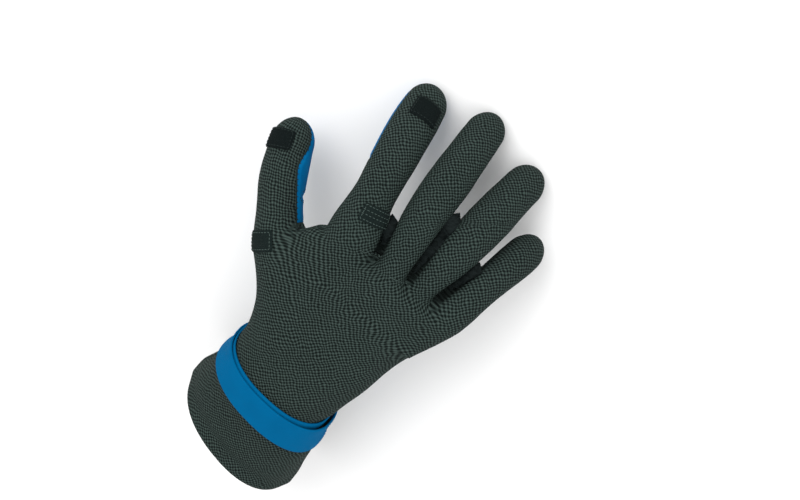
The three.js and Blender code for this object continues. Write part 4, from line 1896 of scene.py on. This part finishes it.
@dataclass
class FastenerPatch:
    """A patch of hook or loop cloth sewn on the back of a finger."""

    shop: Workshop
    name: str
    limb: str
    place: float
    offset: float
    length: float
    width: float
    kind: Fastener
    stripes: tuple[float, ...] = ()
    raised_edge: float = 0.0
    bare_edge: int = 4
    hem: float = 1.2
    stitch_lift: float = 0.1
    steps: int = 40
    upper: Array = field(init=False, repr=False)
    out: Array = field(init=False, repr=False)

    def build(self) -> None:
        """Builds the patch, its bristles and its stitches."""
        limb = self.shop.limbs[self.limb]
        middle = limb.root + (limb.length - limb.root) * self.place
        half_turn = self.width / 2 / (limb.section(np.array([middle]))[0][12] + SEAM_GAP)
        centre = math.pi / 2 - math.radians(self.offset)
        share = np.linspace(-1, 1, self.steps + 1)
        q, p = np.meshgrid(share, share, indexing="ij")
        pull = 1 - 0.05 * p**4 * q**4
        ragged = 0.012 * np.sin(9 * p + 4 * q)
        at = middle + self.length / 2 * q * (pull + ragged * np.abs(q))
        angle = centre - half_turn * p * pull
        base, out = self.shop.press_on(limb, at, angle)
        outer = np.maximum(np.abs(p), np.abs(q))
        crown = 0.45 + 0.55 * (1 - outer**10)
        lift = 0.12 + self.raised_edge * smooth_step(0.35, 1.0, -p)
        upper = base + out * (lift + PATCH_THICKNESS * crown)[..., None]
        lower = base + out * lift[..., None]
        self.upper, self.out = upper, out
        points = np.concatenate([upper.reshape(-1, 3), lower.reshape(-1, 3)])
        piece = mesh_object(self.name + "_cloth", self.shop.placement.place(points), sheet_faces(*q.shape))
        finishes = self.shop.finishes
        finish = finishes.hook if self.kind is Fastener.HOOK else finishes.loop
        piece.data.materials.append(finish)
        flat = np.stack([p * self.width / 20, q * self.length / 20], -1).reshape(-1, 2)
        store_values(piece.data, np.concatenate([flat, flat]))
        finish_piece(piece, "fastener_cloth", self.name)
        self.add_bristles(finish)
        self.sew()

    def top_at(self, p: Array, q: Array) -> tuple[Array, Array]:
        """Finds points of the patch's top.

        Args:
            p: Shares across, from -1 to 1.
            q: Shares along, from -1 to 1.

        Returns:
            The points and the ways out, in millimetres.
        """
        i = np.clip(np.round((np.asarray(q) + 1) / 2 * self.steps).astype(int), 0, self.steps)
        j = np.clip(np.round((np.asarray(p) + 1) / 2 * self.steps).astype(int), 0, self.steps)
        return self.upper[i, j], self.out[i, j]

    def add_bristles(self, finish: bpy.types.Material) -> None:
        """Sets bristles over the patch, stiff on hook cloth and low and leaning on loop cloth.

        Args:
            finish: The bristles' finish.
        """
        inner = slice(self.bare_edge, self.steps + 1 - self.bare_edge)
        grid = self.upper[inner, inner]
        rows, columns = grid.shape[:2]
        faces = [
            (r * columns + c, (r + 1) * columns + c, (r + 1) * columns + c + 1, r * columns + c + 1)
            for r in range(rows - 1)
            for c in range(columns - 1)
        ]
        ground = mesh_object(self.name + "_bristles", self.shop.placement.place(grid.reshape(-1, 3)), faces)
        sizes = BRISTLE_SIZES[self.kind]
        self.shop.repeats.grow(ground, self.shop.repeats.bristles, **sizes, Seed=BRISTLE_SEED, Finish=finish)
        corners = len(ground.data.vertices)
        places = np.empty(corners * 3)
        ground.data.vertices.foreach_get("co", places)
        for layer in list(ground.data.uv_layers):
            ground.data.uv_layers.remove(layer)
        store_values(ground.data, places.reshape(-1, 3)[:, :2] * 100)
        finish_piece(ground, "fastener_cloth")

    def sew(self) -> None:
        """Sews the patch on, round its border and along its stripes."""
        finishes = self.shop.finishes
        p, q = square_path(24)
        p *= 1 - 2 * self.hem / self.width
        q *= 1 - 2 * self.hem / self.length
        thread = finishes.thread if self.kind is Fastener.HOOK else finishes.light_thread
        self.sew_along("border", p, q, True, thread)
        run = np.linspace(-0.84, 0.84, 24)
        for i, stripe in enumerate(self.stripes):
            along = np.full_like(run, stripe)
            self.sew_along(f"stripe_{i + 1}", run, along, False, finishes.light_thread)

    def sew_along(self, label: str, p: Array, q: Array, closed: bool, thread: bpy.types.Material) -> None:
        """Sews one row of stitches on the patch.

        Args:
            label: What the row is called.
            p: Shares across.
            q: Shares along.
            closed: Whether the row meets its own start.
            thread: The thread's finish.
        """
        points, lifts = self.top_at(p, q)
        self.shop.repeats.stitch_row(
            f"{self.name}_{label}_stitches",
            self.shop.placement.place(points + lifts * self.stitch_lift),
            path_edges(len(points), closed),
            lifts,
            thread,
            "fastener_cloth",
            Pitch=0.002,
            Stitch_Length=0.0015,
            Thread_Radius=0.0002,
        )


@dataclass(frozen=True)
class TackRow:
    """A short row of stitches across a finger's root: how far past the crotch, and its angles in degrees."""

    limb: str
    past_crotch: float
    first: float
    last: float


@dataclass
class RootTacks:
    """Short rows of light stitches that hold the cloth beside the crotches."""

    shop: Workshop
    rows: tuple[TackRow, ...] = (TackRow("index", -1.0, 70, 20), TackRow("middle", -1.5, 78, 15))
    steps: int = 12
    stitch_lift: float = 0.1

    def build(self) -> None:
        """Sews the rows."""
        for row in self.rows:
            limb = self.shop.limbs[row.limb]
            angle = np.radians(np.linspace(row.first, row.last, self.steps))
            at = np.full(self.steps, limb.root + row.past_crotch)
            points, lifts = self.shop.press_on(limb, at, angle)
            self.shop.repeats.stitch_row(
                row.limb + "_root_stitches",
                self.shop.placement.place(points + lifts * self.stitch_lift),
                path_edges(self.steps, False),
                lifts,
                self.shop.finishes.light_thread,
                "pitted_neoprene",
                Pitch=0.0021,
                Stitch_Length=0.0016,
                Thread_Radius=0.0002,
            )


def strap_lift(turns: Array, with_tab: bool = True) -> Array:
    """Works out how far the strap's lower side lies above the wrist.

    Args:
        turns: How many turns it has wound.
        with_tab: Whether it lies over the hook tab at its end.

    Returns:
        The heights.
    """
    table = np.array(STRAP_LIFTS)
    layers = between(table[:, 0], table[:, 1], turns)
    tab = between(table[:, 0], table[:, 2], turns)
    room = TAB_THICKNESS + SEAM_GAP if with_tab else 0.0
    return STRAP_GAP + layers * (STRAP_THICKNESS + SEAM_GAP) + tab * room


def strap_line(turns: Array, spread: float) -> tuple[Array, Array]:
    """Works out where the strap's middle runs.

    Args:
        turns: How many turns it has wound.
        spread: How far it starts past its place and ends before it.

    Returns:
        The distances along the hand and the angles round it, in radians.
    """
    middle = STRAP_PLACE + CUFF_LENGTH + spread * (1 - 2 * turns / STRAP_TURNS)
    return middle, np.radians(STRAP_START - turns * 360)


@dataclass(frozen=True)
class BandRow:
    """A band round the wrist: where it starts and ends in turns, its section and what it stands for."""

    name: str
    start: float
    end: float
    width: float
    thickness: float
    over_tab: bool
    slot: str
    node: str


STRAP_BAND = BandRow(
    "strap_band", 0, STRAP_TURNS, STRAP_WIDTH, STRAP_THICKNESS, True, "blue_strap", "wrist_strap"
)
TAB_BAND = BandRow(
    "strap_tab",
    STRAP_TURNS - TAB_TURNS,
    STRAP_TURNS,
    TAB_WIDTH,
    TAB_THICKNESS,
    False,
    "fastener_cloth",
    "strap_hook_tab",
)


@dataclass
class WristStrap:
    """The blue strap, wound once and more than half again round the wrist, and its hook tab."""

    shop: Workshop
    steps_a_turn: int = 128
    crown: float = 0.17
    round_length: float = 190.0
    rounding: float = 0.75
    end_rounding: float = 0.8
    box_reach: float = 6.2
    box_turns: tuple[float, float] = (STRAP_TURNS - 0.075, STRAP_TURNS - 0.012)
    stitch_lift: float = 0.06

    @staticmethod
    def packed_corner(hand: Limb) -> Array:
        """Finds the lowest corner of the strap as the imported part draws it.

        Args:
            hand: The hand.

        Returns:
            The corner of its box, in millimetres.
        """
        windings = np.linspace(0, STRAP_TURNS, round(STRAP_TURNS * STRAP_SIDES) + 1)
        middle, angle = strap_line(windings, STRAP_OFFSET)
        lift = strap_lift(windings)
        corners = [
            hand.surface(middle + side * STRAP_WIDTH / 2, angle, lift + extra)
            for side in (-1, 0, 1)
            for extra in (0, STRAP_THICKNESS)
        ]
        return np.concatenate(corners).min(0)

    def build(self) -> None:
        """Builds the strap, its tab and the stitches at its end."""
        self.wind(STRAP_BAND, self.shop.finishes.strap)
        self.wind(TAB_BAND, self.shop.finishes.hook)
        self.sew_end()

    def outline(self, width: float, thickness: float) -> Array:
        """Draws the section of a band with rounded edges, as distances across and out.

        Args:
            width: The band's width.
            thickness: Its thickness.

        Returns:
            The section's points, once round.
        """
        radius = min(self.rounding, thickness * 0.48)
        flat = np.linspace(-1, 1, 15) * (width / 2 - radius)
        quarter = np.linspace(0, math.pi / 2, 5)[1:-1]
        right = [(width / 2 - radius + radius * math.cos(a), radius * math.sin(a)) for a in quarter]
        top = [(x, thickness) for x in flat[::-1]]
        bottom = [(x, 0.0) for x in flat]
        upper_right = [(x, thickness - radius + y) for x, y in right]
        lower_right = [(x, radius - y) for x, y in reversed(right)]
        upper_left = [(-x, y) for x, y in reversed(upper_right)]
        lower_left = [(-x, y) for x, y in reversed(lower_right)]
        section = np.array(bottom + lower_right + upper_right + top + upper_left + lower_left)
        crown = self.crown * (1 - (2 * section[:, 0] / width) ** 2) * (section[:, 1] > thickness / 2)
        section[:, 1] += crown
        return section

    def wind(self, row: BandRow, finish: bpy.types.Material) -> bpy.types.Object:
        """Winds a band round the wrist.

        Args:
            row: The band's row.
            finish: Its finish.

        Returns:
            The piece.
        """
        hand = self.shop.limbs["hand"]
        section = self.outline(row.width, row.thickness)
        closing = np.array([0.0, 0.45, 0.75, 0.93, 1.0])
        shrink = np.sqrt(1 - closing**2)
        shrink[-1] = 0.12
        depth = self.end_rounding / self.round_length
        steps = max(8, round((row.end - row.start) * self.steps_a_turn))
        body = np.linspace(row.start + depth, row.end - depth, steps)
        windings = np.concatenate([body[0] - depth * closing[:0:-1], body, body[-1] + depth * closing[1:]])
        scales = np.concatenate([shrink[:0:-1], np.ones(len(body)), shrink[1:]])
        rings = []
        flats = []
        for turns, scale in zip(windings, scales):
            middle, angle = strap_line(turns, STRAP_SPREAD)
            lift = float(strap_lift(np.array(turns), row.over_tab)) - WRIST_SHIFT * math.cos(angle)
            across = section[:, 0] * (1 - (1 - scale) * 0.08)
            out = row.thickness / 2 + (section[:, 1] - row.thickness / 2) * scale
            rings.append(hand.surface(middle + across, angle, lift + out))
            wound = np.full(len(section), turns * self.round_length / 10)
            flats.append(np.stack([section[:, 0] / 10, wound], 1))
        faces = tube_faces(len(rings), len(section))
        piece = mesh_object(row.name, self.shop.placement.place(np.concatenate(rings)), faces)
        piece.data.materials.append(finish)
        store_values(piece.data, np.concatenate(flats))
        return finish_piece(piece, row.slot, row.node)

    def sew_end(self) -> None:
        """Sews a box of stitches where the tab is held at the strap's free end."""
        hand = self.shop.limbs["hand"]
        side, run = square_path(16)
        side *= self.box_reach
        first, last = self.box_turns
        turns = first + (last - first) * (run + 1) / 2
        middle, angle = strap_line(turns, STRAP_SPREAD)
        crown = self.crown * (1 - (2 * side / STRAP_WIDTH) ** 2)
        top = strap_lift(turns) - WRIST_SHIFT * np.cos(angle) + STRAP_THICKNESS + crown + self.stitch_lift
        points = hand.surface(middle + side, angle, top)
        lifts = unit(hand.surface(middle + side, angle, top + 1) - points)
        self.shop.repeats.stitch_row(
            "strap_end_stitches",
            self.shop.placement.place(points),
            path_edges(len(points), True),
            lifts,
            self.shop.finishes.blue_thread,
            "blue_strap",
            Pitch=0.0023,
            Stitch_Length=0.0017,
            Thread_Radius=0.00019,
        )


@dataclass
class Studio:
    """The floor, the light and the camera, whose eye is given in the shapes' own millimetres."""

    placement: Placement
    eye: tuple[float, float, float] = (-0.504, 515.844, 889.53)
    right: tuple[float, float, float] = (0.777518, 0.565662, -0.274758)
    up: tuple[float, float, float] = (-0.628859, 0.698461, -0.341598)
    back: tuple[float, float, float] = (-0.001322, 0.438383, 0.898787)
    lens: float = 79.154
    sensor: float = 36.0
    daylight: float = 1.05
    floor_half: float = 6.0
    floor_drop: float = 0.0002

    def build(self) -> None:
        """Builds the studio."""
        corners = np.array([(-1, -1, 0), (1, -1, 0), (1, 1, 0), (-1, 1, 0)]) * self.floor_half
        floor = mesh_object("floor", corners, [(0, 1, 2, 3)])
        g = Graph("pale_floor")
        shade = g.spread(g.noise(g.place(), 3, 3), 0.2, 0.8)
        pale = g.mix(shade, (0.9, 0.9, 0.9, 1), (0.86, 0.86, 0.86, 1))
        floor.data.materials.append(g.dress(pale, None, Roughness=0.85))
        floor.location.z = -self.floor_drop
        world = bpy.data.worlds.new("studio")
        world.use_nodes = True
        background = world.node_tree.nodes["Background"]
        background.inputs["Color"].default_value = (1, 1, 1, 1)
        background.inputs["Strength"].default_value = self.daylight
        bpy.context.scene.world = world
        self.lamp("key", (-0.75, 0.75, 1.25), 1.1, 14)
        self.lamp("fill", (0.9, 0.2, 1.0), 1.3, 4)
        lens = bpy.data.cameras.new("camera")
        lens.sensor_fit = "HORIZONTAL"
        lens.sensor_width = self.sensor
        lens.lens = self.lens
        lens.clip_start = 0.05
        camera = new_object("camera", lens)
        turned = Matrix((self.right, self.up, self.back)).transposed().to_4x4()
        camera.matrix_world = Matrix.Translation(self.placement.place(self.eye).tolist()) @ turned
        bpy.context.scene.camera = camera
        bpy.context.scene.view_settings.view_transform = "Standard"

    def lamp(self, name: str, place: tuple[float, float, float], size: float, power: float) -> None:
        """Hangs a soft square lamp that looks at the glove.

        Args:
            name: The lamp's name.
            place: Where it hangs.
            size: Its side.
            power: Its power in watts.
        """
        light = bpy.data.lights.new(name, "AREA")
        light.size = size
        light.energy = power
        lamp = new_object(name, light)
        lamp.location = place
        way = Vector((0, 0, 0.04)) - Vector(place)
        lamp.rotation_euler = way.to_track_quat("-Z", "Y").to_euler()


def main() -> None:
    """Builds the glove piece by piece, and the studio round it."""
    logging.basicConfig(level=logging.INFO, format="%(message)s")
    hand = make_hand()
    limbs = {"hand": hand, **{row.name: make_finger(row, hand) for row in FINGER_ROWS}}
    corner = np.array(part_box("wrist_strap")[0]) * 1000
    placement = Placement(corner - WristStrap.packed_corner(hand))
    LOG.info("offset %s", placement.offset.round(3))
    Studio(placement).build()
    skin = build_skin(list(limbs.values()))
    shape_details(skin)
    skin.values["normal"] = corner_normals(skin.points, skin.triangles)
    tree = BVHTree.FromPolygons(skin.points.tolist(), skin.triangles.tolist())
    shop = Workshop(limbs, placement, Finishes.make(), Repeats(), skin, tree)
    patches = (
        FastenerPatch(shop, "thumb_tip_patch", "thumb", 0.79, 14, 11, 17, Fastener.HOOK, raised_edge=0.3),
        FastenerPatch(shop, "thumb_base_patch", "thumb", 0.085, 11, 10.5, 17, Fastener.LOOP),
        FastenerPatch(shop, "index_tip_patch", "index", 0.775, 2, 12, 17, Fastener.HOOK),
        FastenerPatch(
            shop, "index_base_patch", "index", 0.17, 18, 9, 19, Fastener.LOOP, stripes=(-0.2, 0.25)
        ),
    )
    for patch in patches:
        patch.build()
    RootTacks(shop).build()
    WristStrap(shop).build()
    Shell(shop).build()


if __name__ == "__main__":
    main()
